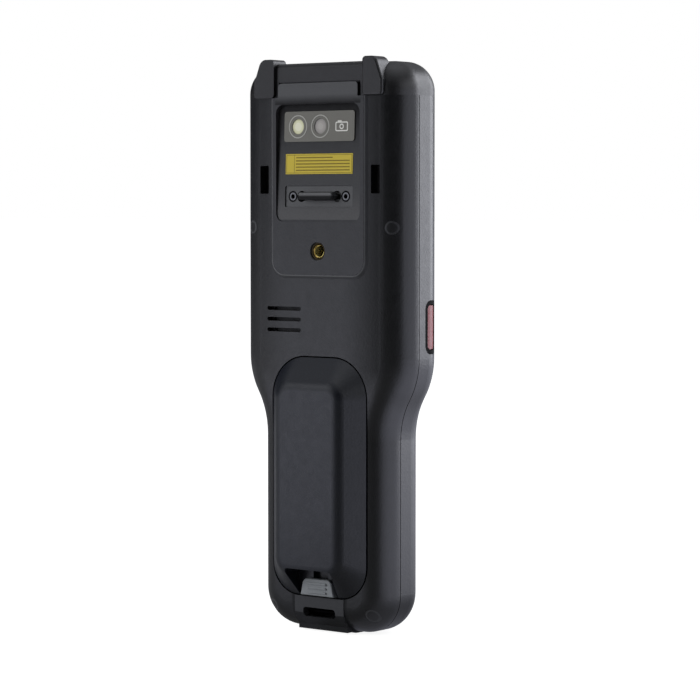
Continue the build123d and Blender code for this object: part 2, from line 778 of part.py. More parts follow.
# scan engine, with its two eyes towards the window
engine_top = body_top - wall - engine_eye - slip
with BuildPart() as scan_engine:
    with BuildSketch(Plane.XY.offset(engine_top - engine_tall)):
        with Locations((0, scan_mid_y)):
            Rectangle(2 * engine_half, engine_deep)
    extrude(amount=engine_tall)
    chamfer(scan_engine.edges().filter_by(Axis.Z), engine_edge)
    with BuildSketch(Plane.XY.offset(engine_top)):
        with Locations((-engine_half / 2, scan_mid_y), (engine_half / 2, scan_mid_y)):
            Circle(engine_deep / 3)
    extrude(amount=engine_eye)
    with BuildSketch(Plane.XY.offset(engine_top + engine_eye)):
        with Locations((-engine_half / 2, scan_mid_y), (engine_half / 2, scan_mid_y)):
            Circle(engine_deep / 4)
    extrude(amount=-2 * engine_eye, mode=Mode.SUBTRACT)
save(scan_engine, "scan_engine")

with BuildPart() as earpiece_mesh:
    with BuildSketch(from_back(inner_front_y + slip)):
        with Locations((0, receiver_z)):
            SlotOverall(2 * (receiver_half + mesh_lap), receiver_tall + 2 * mesh_lap)
    extrude(amount=mesh_thick)
save(earpiece_mesh, "earpiece_mesh")

with BuildPart() as status_light:
    with BuildSketch(from_front(inner_front_y + light_collar)):
        with Locations((light_x, light_z)):
            Circle(light_radius - slip)
    extrude(amount=wall + light_collar)
    with BuildSketch(from_front(inner_front_y + light_collar)):
        with Locations((light_x, light_z)):
            Circle(light_radius + light_collar)
    extrude(amount=light_collar - slip)
save(status_light, "status_light")

with BuildPart() as housing_gasket:
    add(gasket_ring.part)
save(housing_gasket, "housing_gasket")

# ---------------------------------------------------------------- display, boards and keypad
with BuildPart() as touch_lens:
    with BuildSketch(from_front(lens_back_y)):
        with Locations((0, lens_z)):
            RectangleRounded(2 * lens_half, lens_high - lens_low, lens_corner)
    extrude(amount=lens_thick)
    chamfer(touch_lens.faces().sort_by(Axis.Y)[0].edges(), lens_edge)
save(touch_lens, "touch_lens")

with BuildPart() as display_module:
    with BuildSketch(from_back(lens_back_y)):
        with Locations((0, display_z)):
            Rectangle(2 * display_half, display_high - display_low)
    extrude(amount=display_thick)
save(display_module, "display_module")

with BuildPart() as chassis_plate:
    with BuildSketch(from_back(display_back_y)):
        with Locations((0, display_z)):
            Rectangle(2 * chassis_half, display_high - display_low)
            RectangleRounded(2 * board_half - 6 * standoff_radius,
                             board_high - board_low - 2 * chassis_rim, chassis_corner, mode=Mode.SUBTRACT)
    extrude(amount=chassis_thick)
    with BuildSketch(from_back(chassis_back_y)):
        with Locations((0, board_z)):
            with GridLocations(2 * board_half - 2 * standoff_radius,
                               board_high - board_low - 2 * standoff_radius, 2, 2):
                Circle(standoff_radius)
    extrude(amount=board_gap)
save(chassis_plate, "chassis_plate")

with BuildPart() as main_board:
    with BuildSketch(from_back(board_y)):
        with Locations((0, board_z)):
            Rectangle(2 * board_half, board_high - board_low)
    extrude(amount=board_thick)
    with BuildSketch(from_back(board_y + board_thick)):
        with Locations((0, board_z)):
            with GridLocations(chip_pitch, 2 * chip_pitch, 2, 2):
                Rectangle(chip_wide, chip_wide)
    extrude(amount=chip_thick)
save(main_board, "main_board")

with BuildPart() as keypad_board:
    with BuildSketch(from_back(keyboard_y)):
        with Locations((0, (mat_low + mat_high) / 2)):
            Rectangle(2 * keyboard_half, mat_high - mat_low)
    extrude(amount=keyboard_thick)
save(keypad_board, "keypad_board")

with BuildPart() as keypad_mat:
    with BuildSketch(from_back(mat_y)):
        with Locations((0, (mat_low + mat_high) / 2)):
            RectangleRounded(2 * mat_half, mat_high - mat_low, 2)
    extrude(amount=mat_thick)
save(keypad_mat, "keypad_mat")

for name, x, z, size in keys:
    with BuildPart() as key:
        with BuildSketch(from_front(flange_back_y)):
            with Locations((x, z)):
                RectangleRounded(size[0], size[1], key_corner)
        extrude(amount=flange_back_y - front_y + key_rise)
        chamfer(key.faces().sort_by(Axis.Y)[0].edges(), key_edge)
        with BuildSketch(from_front(flange_back_y)):
            with Locations((x, z)):
                RectangleRounded(size[0] + 2 * key_flange_lap, size[1] + 2 * key_flange_lap,
                                 key_corner + key_flange_lap)
        extrude(amount=key_flange)
    save(key, name)

# ---------------------------------------------------------------- side triggers
trigger_skin = body_blank(trigger_sink)
trigger_room = body_blank(wall + 2 * slip)
for side, name in ((-1, "trigger_left"), (1, "trigger_right")):
    flange_x = head_half - wall - 2 * slip - trigger_flange_thick
    tip_x = shelf_x + switch_thick + trigger_travel + 2 * slip
    with BuildPart() as trigger_lip:
        with BuildSketch(Plane.YZ.offset(side * flange_x)):
            with Locations((trigger_y, trigger_z)):
                RectangleRounded(trigger_deep + 2 * trigger_flange,
                                 trigger_high - trigger_low + 2 * trigger_flange,
                                 trigger_corner + trigger_flange)
        extrude(amount=side * wall)
        add(trigger_room, mode=Mode.INTERSECT)
    with BuildPart() as trigger:
        with BuildSketch(Plane.YZ.offset(side * flange_x)):
            with Locations((trigger_y, trigger_z)):
                RectangleRounded(trigger_deep, trigger_high - trigger_low, trigger_corner)
        extrude(amount=side * 2 * wall)
        add(trigger_skin, mode=Mode.INTERSECT)
        add(trigger_lip.part)
        with BuildSketch(Plane.YZ.offset(side * tip_x)):
            with Locations((trigger_y, trigger_z)):
                Circle(plunger_radius)
        extrude(amount=side * (flange_x - tip_x))
    save(trigger, name)

with BuildPart() as trigger_bezels:
    for side in (-1, 1):
        with BuildPart() as frame:
            with BuildSketch(Plane.YZ.offset(side * (head_half - 2 * wall))):
                with Locations((trigger_y, trigger_z)):
                    RectangleRounded(trigger_deep + 2 * (run + bezel_wide - slip),
                                     trigger_high - trigger_low + 2 * (run + bezel_wide - slip),
                                     trigger_corner + run + bezel_wide - slip)
                    RectangleRounded(trigger_deep + 2 * run, trigger_high - trigger_low + 2 * run,
                                     trigger_corner + run, mode=Mode.SUBTRACT)
            extrude(amount=side * 3 * wall)
            add(body_blank(slip), mode=Mode.INTERSECT)
            add(body_blank(bezel_thick - slip), mode=Mode.SUBTRACT)
        add(frame.part)
save(trigger_bezels, "trigger_bezels")

with BuildPart() as trigger_switches:
    for side in (-1, 1):
        with BuildSketch(Plane.YZ.offset(side * shelf_x)):
            with Locations((trigger_y, trigger_z)):
                Rectangle(2 * switch_half, 2 * switch_half)
        extrude(amount=side * switch_thick)
save(trigger_switches, "trigger_switches")

# ---------------------------------------------------------------- battery pack and latch
latch_y = back_y + latch_rise
latch_floor_y = latch_y - latch_thick
neck_y = latch_floor_y - latch_neck_thick
wing_y = neck_y - latch_wing_thick


def latch_outline():
    """Outline of the latch button: narrower above, with round upper corners."""
    with BuildSketch() as outline:
        with BuildLine():
            Polyline((0, latch_low), (latch_low_half, latch_low), (latch_high_half, latch_high),
                     (0, latch_high))
            mirror(about=Plane.YZ)
        make_face()
        fillet(outline.vertices().group_by(Axis.Y)[-1], latch_corner)
    return outline.sketch


with BuildPart() as battery_pack:
    with BuildSketch(from_back(bay_floor_y + run)):
        add(pack_outline())
    extrude(amount=pivot_y + hump_rim - bay_floor_y - run)
    chamfer(battery_pack.faces().sort_by(Axis.Y)[0].edges().group_by(Axis.Z)[0], pack_chamfer)
    with BuildSketch(from_back(pivot_y + hump_rim)):
        add(pack_outline())
    with BuildSketch(from_back(crown_y)):
        with Locations((0, (pack_low + pack_high) / 2)):
            RectangleRounded(2 * pack_half - pack_gap - 2 * hump_slope,
                             pack_high - pack_low - pack_gap - 2 * hump_end_slope, hump_corner)
    loft()
    fillet(battery_pack.faces().sort_by(Axis.Y)[-1].edges(), hump_edge)
    # hooks that hold the upper end in the bay
    with BuildSketch(Plane.XY.offset(pack_high - run - hook_long)):
        with Locations(*[(side * hook_u, hook_mid_y) for side in (-1, 1)]):
            Rectangle(hook_wide, hook_thick)
    extrude(amount=2 * hook_long)
    # thumb scoop, with the guide of the latch in its floor
    with BuildSketch(from_back(latch_floor_y - slide_gap)):
        with BuildLine():
            Polyline((0, pack_low - run), (scoop_low_half, pack_low - run),
                     (scoop_high_half, scoop_high), (0, scoop_high))
            mirror(about=Plane.YZ)
        make_face()
        fillet(vertices().group_by(Axis.Y)[-1], scoop_corner)
    extrude(amount=hump_rise + latch_thick, mode=Mode.SUBTRACT)
    with BuildSketch(from_back(neck_y - slide_gap)):
        with Locations((0, (latch_low + latch_high + latch_travel) / 2)):
            Rectangle(2 * (latch_neck_half + slide_gap), latch_high + latch_travel - latch_low + 1)
    extrude(amount=latch_neck_thick + slide_gap, mode=Mode.SUBTRACT)
    with BuildSketch(from_back(wing_y - slide_gap)):
        with Locations((0, (latch_low + latch_high + latch_travel) / 2)):
            Rectangle(2 * (latch_wing_half + slide_gap), latch_high + latch_travel - latch_low + 1)
    extrude(amount=latch_wing_thick + 2 * slide_gap, mode=Mode.SUBTRACT)
    with BuildSketch(from_back(bay_floor_y + run)):
        with Locations(*contact_spots):
            Rectangle(contact_wide, contact_tall)
    extrude(amount=contact_thick, mode=Mode.SUBTRACT)
save(battery_pack, "battery_pack")

with BuildPart() as battery_latch:
    with BuildSketch(from_back(latch_floor_y)):
        add(latch_outline())
    extrude(amount=latch_thick)
    fillet(battery_latch.faces().sort_by(Axis.Y)[-1].edges(), latch_edge)
    with BuildSketch(from_back(wing_y)):
        with Locations((0, (latch_low + latch_high) / 2)):
            Rectangle(2 * latch_neck_half, latch_high - latch_low - 1)
    extrude(amount=latch_floor_y - wing_y)
    with BuildSketch(from_back(wing_y)):
        with Locations((0, (latch_low + latch_high) / 2)):
            Rectangle(2 * latch_wing_half, latch_high - latch_low - 1)
    extrude(amount=latch_wing_thick)
save(battery_latch, "battery_latch")

with BuildPart() as battery_contacts:
    with BuildSketch(from_back(bay_floor_y + run)):
        with Locations(*contact_spots):
            Rectangle(contact_wide, contact_tall)
    extrude(amount=contact_thick)
save(battery_contacts, "battery_contacts")

with BuildPart() as battery_connector:
    with BuildSketch(from_back(bay_floor_y - bay_wall - connector_deep)):
        with Locations((0, contact_z)):
            Rectangle(2 * connector_half, connector_tall)
    extrude(amount=bay_wall + connector_deep - slip)
    with BuildSketch(from_back(bay_floor_y - bay_wall)):
        with Locations(*contact_spots):
            Circle(pin_radius)
    extrude(amount=bay_wall + run / 2)
save(battery_connector, "battery_connector")

# ---------------------------------------------------------------- what is set in the ramp
with BuildPart() as camera_window:
    with BuildSketch(on_ramp(window_z, window_floor)):
        RectangleRounded(2 * window_half, window_high - window_low, window_corner)
    extrude(amount=window_thick)
    with BuildSketch(on_ramp(optic_z, window_floor)):
        with Locations((flash_u, 0), (camera_u, 0)):
            Circle(optic_radius)
    extrude(amount=2 * window_thick, mode=Mode.SUBTRACT)
save(camera_window, "camera_window")

for name, u in (("camera_lens", camera_u), ("flash_lens", flash_u)):
    with BuildPart() as optic:
        with BuildSketch(on_ramp(optic_z, window_floor)):
            with Locations((u, 0)):
                Circle(optic_radius - slip)
        extrude(amount=optic_thick)
    save(optic, name)

optic_back_y = ramp_depth(optic_z) + window_floor
with BuildPart() as camera_module:
    with BuildSketch(from_back(pocket_block_y - slip)):
        with Locations((camera_u, optic_z)):
            Rectangle(camera_wide, camera_wide)
    extrude(amount=-camera_deep)
    with BuildSketch(from_back(pocket_block_y - slip)):
        with Locations((camera_u, optic_z)):
            Circle(optic_radius - optic_ledge - run)
    extrude(amount=optic_back_y - pocket_block_y - run)
save(camera_module, "camera_module")

with BuildPart() as flash_led:
    with BuildSketch(from_back(pocket_block_y - slip)):
        with Locations((flash_u, optic_z)):
            Rectangle(flash_wide, flash_wide)
    extrude(amount=-flash_deep)
    with BuildSketch(from_back(pocket_block_y - slip)):
        with Locations((flash_u, optic_z)):
            Circle(optic_radius - optic_ledge - run)
    extrude(amount=optic_back_y - pocket_block_y - run)
save(flash_led, "flash_led")

with BuildPart() as label_plate:
    with BuildSketch(on_ramp(label_z, -label_sink)):
        Rectangle(2 * label_half, label_high - label_low)
    extrude(amount=label_thick)
save(label_plate, "label_plate")

with BuildPart() as strap_anchor_plate:
    with BuildSketch(on_ramp(anchor_z, anchor_floor)):
        RectangleRounded(2 * anchor_half, anchor_high - anchor_low, anchor_corner)
        add(dog_bone(), mode=Mode.SUBTRACT)
        with Locations(*[(side * anchor_screw_u, 0) for side in (-1, 1)]):
            Circle(anchor_shank_radius + slip, mode=Mode.SUBTRACT)
    extrude(amount=anchor_thick)
    with BuildSketch(on_ramp(anchor_z, -anchor_sink - anchor_head_thick)):
        with Locations(*[(side * anchor_screw_u, 0) for side in (-1, 1)]):
            Circle(anchor_head_radius + 2 * slip)
    extrude(amount=2 * anchor_head_thick, mode=Mode.SUBTRACT)
save(strap_anchor_plate, "strap_anchor_plate")

with BuildPart() as anchor_screws:
    with BuildSketch(on_ramp(anchor_z, -anchor_sink - anchor_screw_long)):
        with Locations(*[(side * anchor_screw_u, 0) for side in (-1, 1)]):
            Circle(anchor_shank_radius)
    extrude(amount=anchor_screw_long)
    with BuildSketch(on_ramp(anchor_z, -anchor_sink - anchor_head_thick)):
        with Locations(*[(side * anchor_screw_u, 0) for side in (-1, 1)]):
            Circle(anchor_head_radius)
    extrude(amount=anchor_head_thick)
    with BuildSketch(on_ramp(anchor_z, -anchor_sink)):
        with Locations(*[(side * anchor_screw_u, 0) for side in (-1, 1)]):
            RegularPolygon(anchor_socket_radius, 6)
    extrude(amount=-anchor_head_thick, mode=Mode.SUBTRACT)
save(anchor_screws, "anchor_screws")

with BuildPart() as strap_bar:
    with BuildSketch(on_ramp(anchor_z, bar_rise - bar_thick - anchor_sink)):
        RectangleRounded(2 * bar_half, bar_tall, bar_corner)
    extrude(amount=bar_thick)
    fillet(strap_bar.edges().group_by(Axis.Y)[-1], bar_edge)
    with BuildSketch(on_ramp(anchor_z, anchor_floor - slot_floor)):
        with Locations((-bar_foot_u, 0), (bar_foot_u, 0)):
            Circle(bar_foot_radius)
    extrude(amount=anchor_thick + slot_floor + bar_rise - bar_thick)
save(strap_bar, "strap_bar")

# ---------------------------------------------------------------- insert, screws and plugs
with BuildPart() as grip_insert:
    with BuildSketch(from_back(insert_base_y)):
        with Locations((0, insert_z)):
            Circle(insert_radius)
            Circle(insert_thread_radius, mode=Mode.SUBTRACT)
    extrude(amount=insert_long)
    chamfer(grip_insert.faces().sort_by(Axis.Y)[-1].edges().sort_by(SortBy.RADIUS)[0], insert_flare)
save(grip_insert, "grip_insert")

with BuildPart() as housing_screws:
    with BuildSketch(from_back(seam_y - screw_reach)):
        with Locations(*screw_spots):
            Circle(screw_radius)
    extrude(amount=head_top_y - seam_y + screw_reach)
    with BuildSketch(from_back(head_top_y - screw_head_thick)):
        with Locations(*screw_spots):
            Circle(screw_head_radius)
    extrude(amount=screw_head_thick)
save(housing_screws, "housing_screws")

with BuildPart() as screw_plugs:
    with BuildSketch(from_back(head_top_y)):
        with Locations(*screw_spots):
            Circle(plug_radius)
    extrude(amount=screw_head_below)
    add(body_blank(slip), mode=Mode.INTERSECT)
save(screw_plugs, "screw_plugs")

# ---------------------------------------------------------------- loudspeaker, dock and strap pin
with BuildPart() as loudspeaker:
    with BuildSketch(from_back(inner_back_y - slip)):
        with Locations((-(grille_in + grille_out) / 2, grille_z[1])):
            RectangleRounded(speaker_long, speaker_tall, speaker_corner)
    extrude(amount=-speaker_thick)
    with BuildSketch(from_back(inner_back_y - slip)):
        with Locations((-(grille_in + grille_out) / 2, grille_z[1])):
            RectangleRounded(speaker_long - 2 * speaker_rim, speaker_tall - 2 * speaker_rim,
                             speaker_corner)
    extrude(amount=-speaker_cone_deep, mode=Mode.SUBTRACT)
save(loudspeaker, "loudspeaker")

dock_spots = [((i - (dock_pad_count - 1) / 2) * dock_pad_pitch, dock_y) for i in range(dock_pad_count)]
with BuildPart() as dock_connector:
    with BuildSketch(Plane.XY.offset(dock_sink)):
        with Locations((0, dock_y)):
            Rectangle(2 * dock_port_half, dock_port_tall)
    extrude(amount=dock_port_deep - dock_sink)
    with BuildSketch(Plane.XY.offset(dock_sink)):
        with Locations(*dock_spots):
            Rectangle(dock_pad_wide, dock_pad_tall)
    extrude(amount=contact_thick, mode=Mode.SUBTRACT)
save(dock_connector, "dock_connector")

with BuildPart() as dock_contacts:
    with BuildSketch(Plane.XY.offset(dock_sink)):
        with Locations(*dock_spots):
            Rectangle(dock_pad_wide, dock_pad_tall)
    extrude(amount=contact_thick)
save(dock_contacts, "dock_contacts")

with BuildPart() as wrist_strap_pin:
    with BuildSketch(Plane.YZ.offset(-strap_pin_half)):
        with Locations((strap_pin_y, strap_z)):
            Circle(strap_pin_radius)
    extrude(amount=2 * strap_pin_half)
save(wrist_strap_pin, "wrist_strap_pin")
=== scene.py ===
"""Dresses a rugged barcode data terminal: finishes for every moulded, metal and glass part,
the printed, cut and moulded details too small for its solids, and a small studio."""
import json
import math

import bpy
from mathutils import Matrix, Vector

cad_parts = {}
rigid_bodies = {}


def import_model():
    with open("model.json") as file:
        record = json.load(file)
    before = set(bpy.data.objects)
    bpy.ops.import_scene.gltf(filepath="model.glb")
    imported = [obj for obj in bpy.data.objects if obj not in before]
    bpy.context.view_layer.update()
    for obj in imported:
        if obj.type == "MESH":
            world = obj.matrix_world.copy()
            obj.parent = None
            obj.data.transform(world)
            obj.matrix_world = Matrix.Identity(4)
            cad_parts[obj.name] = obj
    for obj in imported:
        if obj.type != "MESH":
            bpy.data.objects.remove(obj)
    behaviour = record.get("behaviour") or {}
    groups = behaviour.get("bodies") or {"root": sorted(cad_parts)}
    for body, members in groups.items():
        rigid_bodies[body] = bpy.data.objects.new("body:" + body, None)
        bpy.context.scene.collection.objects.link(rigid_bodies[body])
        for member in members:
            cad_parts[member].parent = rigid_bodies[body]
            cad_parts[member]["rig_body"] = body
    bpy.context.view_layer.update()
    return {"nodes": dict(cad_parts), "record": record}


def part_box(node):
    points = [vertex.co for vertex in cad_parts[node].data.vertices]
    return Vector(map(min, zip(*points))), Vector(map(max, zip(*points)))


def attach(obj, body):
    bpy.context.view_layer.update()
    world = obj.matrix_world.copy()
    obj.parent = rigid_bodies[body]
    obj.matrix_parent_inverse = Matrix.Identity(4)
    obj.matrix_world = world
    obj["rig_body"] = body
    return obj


bl_info = {
    "name": "Data Terminal Dress-up",
    "version": (1, 0, 0),
    "blender": (4, 5, 0),
    "location": "View3D > Sidebar > Terminal",
    "description": "Finishes, markings and small mouldings of a handheld data terminal",
    "category": "Object",
}

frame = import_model()
MM = 0.001


# ---------------------------------------------------------------- colour and nodes

def linear(hex_colour):
    """Linear RGB of an sRGB hex value."""
    channels = [int(hex_colour[i:i + 2], 16) / 255 for i in (1, 3, 5)]
    return tuple(c / 12.92 if c <= 0.04045 else ((c + 0.055) / 1.055) ** 2.4 for c in channels)


def rgba(colour):
    """A colour as a node socket takes it: from a hex value, or from one linear level for a grey."""
    return (*(linear(colour) if isinstance(colour, str) else [colour] * 3), 1.0)


def shades(colour, change):
    """A colour made darker and lighter by a share of itself."""
    return [(*(min(1, c * (1 + step)) for c in linear(colour)), 1.0) for step in (-change, change)]


def feed(tree, node, inputs):
    """Feeds a node's sockets with values, with sockets or with nodes, which give their first output."""
    for key, value in inputs.items():
        if isinstance(value, bpy.types.Node):
            value = value.outputs[0]
        if isinstance(value, bpy.types.NodeSocket):
            tree.links.new(value, node.inputs[key])
        else:
            node.inputs[key].default_value = value


def add(tree, kind, inputs=None, **settings):
    """Adds a shader node and feeds it; the kind is its type without the ShaderNode that all begin with."""
    node = tree.nodes.new("ShaderNode" + kind)
    for key, value in settings.items():
        setattr(node, key, value)
    feed(tree, node, inputs or {})
    return node


def fill(ramp, stops, interpolation):
    """Gives a colour ramp its stops: places from 0 to 1, each with its colour."""
    band = ramp.color_ramp
    band.interpolation = interpolation
    while len(band.elements) < len(stops):
        band.elements.new(0.5)
    for stop, (at, colour) in zip(band.elements, stops):
        stop.position, stop.color = at, rgba(colour)
    return ramp


def within(tree, *tests):
    """1 where all the tests hold and 0 elsewhere. A test is a value, its comparison and a limit."""
    held = 1.0
    for value, test, limit in tests:
        passed = add(tree, "Math", {0: value, 1: limit}, operation=test)
        held = add(tree, "Math", {0: passed, 1: held}, operation="MULTIPLY")
    return held


def radius_from(tree, place, middle):
    """Distance of a point from an axis along Y through the middle."""
    off = add(tree, "VectorMath", {0: place, 1: middle}, operation="SUBTRACT")
    across = add(tree, "VectorMath", {0: off, 1: (1, 0, 1)}, operation="MULTIPLY")
    return add(tree, "VectorMath", {0: across}, operation="LENGTH").outputs["Value"]


def banded(tree, radius, bands):
    """Colours by distance: each band starts at its radius in millimetres."""
    far = bands[-1][0] * 1.25
    share = add(tree, "Math", {0: radius, 1: far * MM}, operation="DIVIDE")
    stops = [(start_mm / far, colour) for start_mm, colour in bands]
    return fill(add(tree, "ValToRGB", {0: share}), stops, "CONSTANT")


def new_material(name):
    """An empty node material with its output, its shader and Object coordinates."""
    material = bpy.data.materials.new(name)
    material.use_nodes = True
    tree = material.node_tree
    tree.nodes.clear()
    shader = add(tree, "BsdfPrincipled")
    add(tree, "OutputMaterial", {"Surface": shader})
    place = add(tree, "TexCoord").outputs["Object"]
    return material, tree, shader, place


def open_up(material):
    """The node tree, the shader and the Object coordinates of a finish that is worked over."""
    tree = material.node_tree
    shader = next(n for n in tree.nodes if n.type == "BSDF_PRINCIPLED")
    place = next(n for n in tree.nodes if n.type == "TEX_COORD").outputs["Object"]
    return tree, shader, place


def paint(tree, shader, share, over, under=None):
    """Lays one colour over another by a share; with no other given, over what the shader has."""
    under = rgba(under) if under else shader.inputs["Base Color"].links[0].from_socket
    over = rgba(over) if isinstance(over, str) else over
    tone = add(tree, "Mix", {"Factor": share, 6: under, 7: over}, data_type="RGBA")
    feed(tree, shader, {"Base Color": tone.outputs[2]})


def dull(tree, shader, share, more):
    """Makes the shader rougher than it is, by a share of more."""
    matt = shader.inputs["Roughness"].links[0].from_socket
    feed(tree, shader, {"Roughness": add(tree, "Math", {0: share, 1: more, 2: matt},
                                         operation="MULTIPLY_ADD")})


# ---------------------------------------------------------------- finishes

HOUSING = "#131416"
NECK = (84 * MM, 95 * MM)       # the grip turns into the head between these heights
PANEL_RISE = 0.95 * MM          # a hair less than the raised panel stands over the head's back
POCKET_HALF = 19.6 * MM         # from the middle to just outside the pocket's side walls
POCKET_HEAD = 2.5 * MM          # from the camera window up to just past the pocket's upper end
POCKET_TOE = 4.5 * MM           # from the strap anchor's plate down to just past its lower end
# how far the head's flat faces fall away: millimetres from the middle, and the tilt in radians
FALL = ((0, 0.0), (9.6, 0.0), (17.4, 0.095), (22.9, 0.17), (26, 0.22), (29.5, 0.14), (32, 0.0),
        (34, -0.12), (37, -0.15))


def crown(tree, place, normal):
    """Lets the head's flat faces fall away to both sides, as a moulding does when it cools, with softer
    edges than its solid has. The raised panel, the pocket and the grip stay as they are."""
    x, y, z = add(tree, "SeparateXYZ", {0: place}).outputs
    side = add(tree, "Math", {0: x}, operation="ABSOLUTE")
    reach, lowest = FALL[-1][0], -0.2   # a ramp's colours can't be negative: they start at the lowest tilt
    share = add(tree, "MapRange", {"Value": side, "From Max": reach * MM})
    stops = [(off_mm / reach, tilt - lowest) for off_mm, tilt in FALL]
    level = fill(add(tree, "ValToRGB", {0: share}), stops, "LINEAR")
    tilt = add(tree, "Math", {0: level, 1: lowest}, operation="ADD")
    turned = add(tree, "Math", {0: x}, operation="SIGN")
    signed = add(tree, "Math", {0: tilt, 1: turned}, operation="MULTIPLY")
    head = add(tree, "MapRange", {"Value": z, "From Min": NECK[0], "From Max": NECK[1]})
    raised = within(tree, (y, "GREATER_THAN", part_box("rear_housing")[1].y - PANEL_RISE))
    pocket = within(tree, (side, "LESS_THAN", POCKET_HALF), (y, "GREATER_THAN", 0.0),
                    (z, "GREATER_THAN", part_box("strap_anchor_plate")[0].z - POCKET_TOE))
    panel = add(tree, "Math", {0: raised, 1: pocket}, operation="MAXIMUM")
    free = add(tree, "Math", {0: head, 1: panel}, operation="SUBTRACT", use_clamp=True)
    lean = add(tree, "Math", {0: signed, 1: free}, operation="MULTIPLY")
    push = add(tree, "CombineXYZ", {0: lean})
    leaning = add(tree, "VectorMath", {0: normal, 1: push}, operation="ADD")
    return add(tree, "VectorMath", {0: leaning}, operation="NORMALIZE")


def moulded_finish(name, colour, grain_mm, relief_mm, rough, specular, mottle=0.10, crowned=False):
    """Injection-moulded plastic out of a spark-eroded mould: fine pebbled grain, no gloss, and a
    faint cloudiness that lets the eye see the size of the surface. The grain is drawn a few times
    coarser than a real one, so that it shows."""
    material, tree, shader, place = new_material(name)
    pit_mm, cloud_mm, rub_mm = grain_mm * 1.7, 14.0, 3.2   # sizes of the pits, the clouds and the rub marks
    grain = add(tree, "TexNoise", {"Vector": place, "Scale": 1000 / grain_mm, "Detail": 3.0,
                                   "Roughness": 0.6})
    pits = add(tree, "TexVoronoi", {"Vector": place, "Scale": 1000 / pit_mm})
    cloud = add(tree, "TexNoise", {"Vector": place, "Scale": 1000 / cloud_mm, "Detail": 4.0,
                                   "Roughness": 0.55})
    rub_and_painted_highlight = add(tree, "TexNoise", {"Vector": place, "Scale": 1000 / rub_mm, "Detail": 6.0, "Roughness": 0.7,
                                 "Distortion": 0.4})
    height = add(tree, "Math", {0: grain.outputs["Fac"], 1: pits.outputs["Distance"]}, operation="ADD")
    bump = add(tree, "Bump", {"Height": height, "Strength": 0.55, "Distance": relief_mm * MM})
    dark, pale = shades(colour, mottle)
    shade = add(tree, "Mix", {"Factor": cloud.outputs["Fac"], 6: dark, 7: pale}, data_type="RGBA")
    speck = add(tree, "MapRange", {"Value": grain.outputs["Fac"], "From Min": 0.35, "From Max": 0.7,
                                   "To Min": 0.93, "To Max": 1.07})
    tint = add(tree, "VectorMath", {0: shade.outputs[2], 3: speck}, operation="SCALE")
    matt = add(tree, "MapRange", {"Value": rub_and_painted_highlight.outputs["Fac"], "From Min": 0.3, "From Max": 0.75,
                                  "To Min": rough + 0.05, "To Max": rough - 0.05})
    feed(tree, shader, {"Base Color": tint, "Roughness": matt, "IOR": 1.55, "Specular IOR Level": specular,
                        "Normal": crown(tree, place, bump) if crowned else bump})
    return material


def smooth_finish(name, colour, rough, specular, smear_mm=6.0, coat=0.0, coat_rough=0.1):
    """Polished plastic or lacquer: even colour, a slight orange peel and faint wiping smears in
    the gloss."""
    material, tree, shader, place = new_material(name)
    peel_mm = 1.6   # from crest to crest of the orange peel
    smear = add(tree, "TexNoise", {"Vector": place, "Scale": 1000 / smear_mm, "Detail": 5.0,
                                   "Roughness": 0.6, "Distortion": 0.8})
    peel = add(tree, "TexNoise", {"Vector": place, "Scale": 1000 / peel_mm, "Detail": 2.0})
    dark, pale = shades(colour, 0.07)
    shade = add(tree, "Mix", {"Factor": smear.outputs["Fac"], 6: dark, 7: pale}, data_type="RGBA")
    matt = add(tree, "MapRange", {"Value": smear.outputs["Fac"], "From Min": 0.3, "From Max": 0.7,
                                  "To Min": max(0.02, rough - 0.04), "To Max": rough + 0.04})
    bump = add(tree, "Bump", {"Height": peel.outputs["Fac"], "Strength": 0.15, "Distance": 0.02 * MM})
    feed(tree, shader, {"Base Color": shade.outputs[2], "Roughness": matt, "Normal": bump, "IOR": 1.5,
                        "Specular IOR Level": specular, "Coat Weight": coat, "Coat Roughness": coat_rough})
    return material


def metal_finish(name, colour, rough, lay_mm=0.25):
    """Machined metal: fine parallel tool lines along Z, drawn coarser than real ones so that they
    show, and slightly darker patches."""
    material, tree, shader, place = new_material(name)
    patch_mm, tarnish, stretch = 2.5, 0.24, 20   # the patches' size and darkness, a line's length to width
    across = 1000 / lay_mm
    lines = add(tree, "Mapping", {"Vector": place, "Scale": (across, across, across / stretch)})
    lay = add(tree, "TexNoise", {"Vector": lines, "Scale": 1.0, "Detail": 3.0})
    patch = add(tree, "TexNoise", {"Vector": place, "Scale": 1000 / patch_mm, "Detail": 4.0})
    shade = add(tree, "Mix", {"Factor": patch.outputs["Fac"], 6: rgba(colour), 7: shades(colour, tarnish)[0]},
                data_type="RGBA")
    matt = add(tree, "MapRange", {"Value": lay.outputs["Fac"], "To Min": rough * 0.7, "To Max": rough * 1.35})
    bump = add(tree, "Bump", {"Height": lay.outputs["Fac"], "Strength": 0.3, "Distance": 0.02 * MM})
    feed(tree, shader, {"Base Color": shade.outputs[2], "Roughness": matt, "Normal": bump, "Metallic": 1.0})
    return material


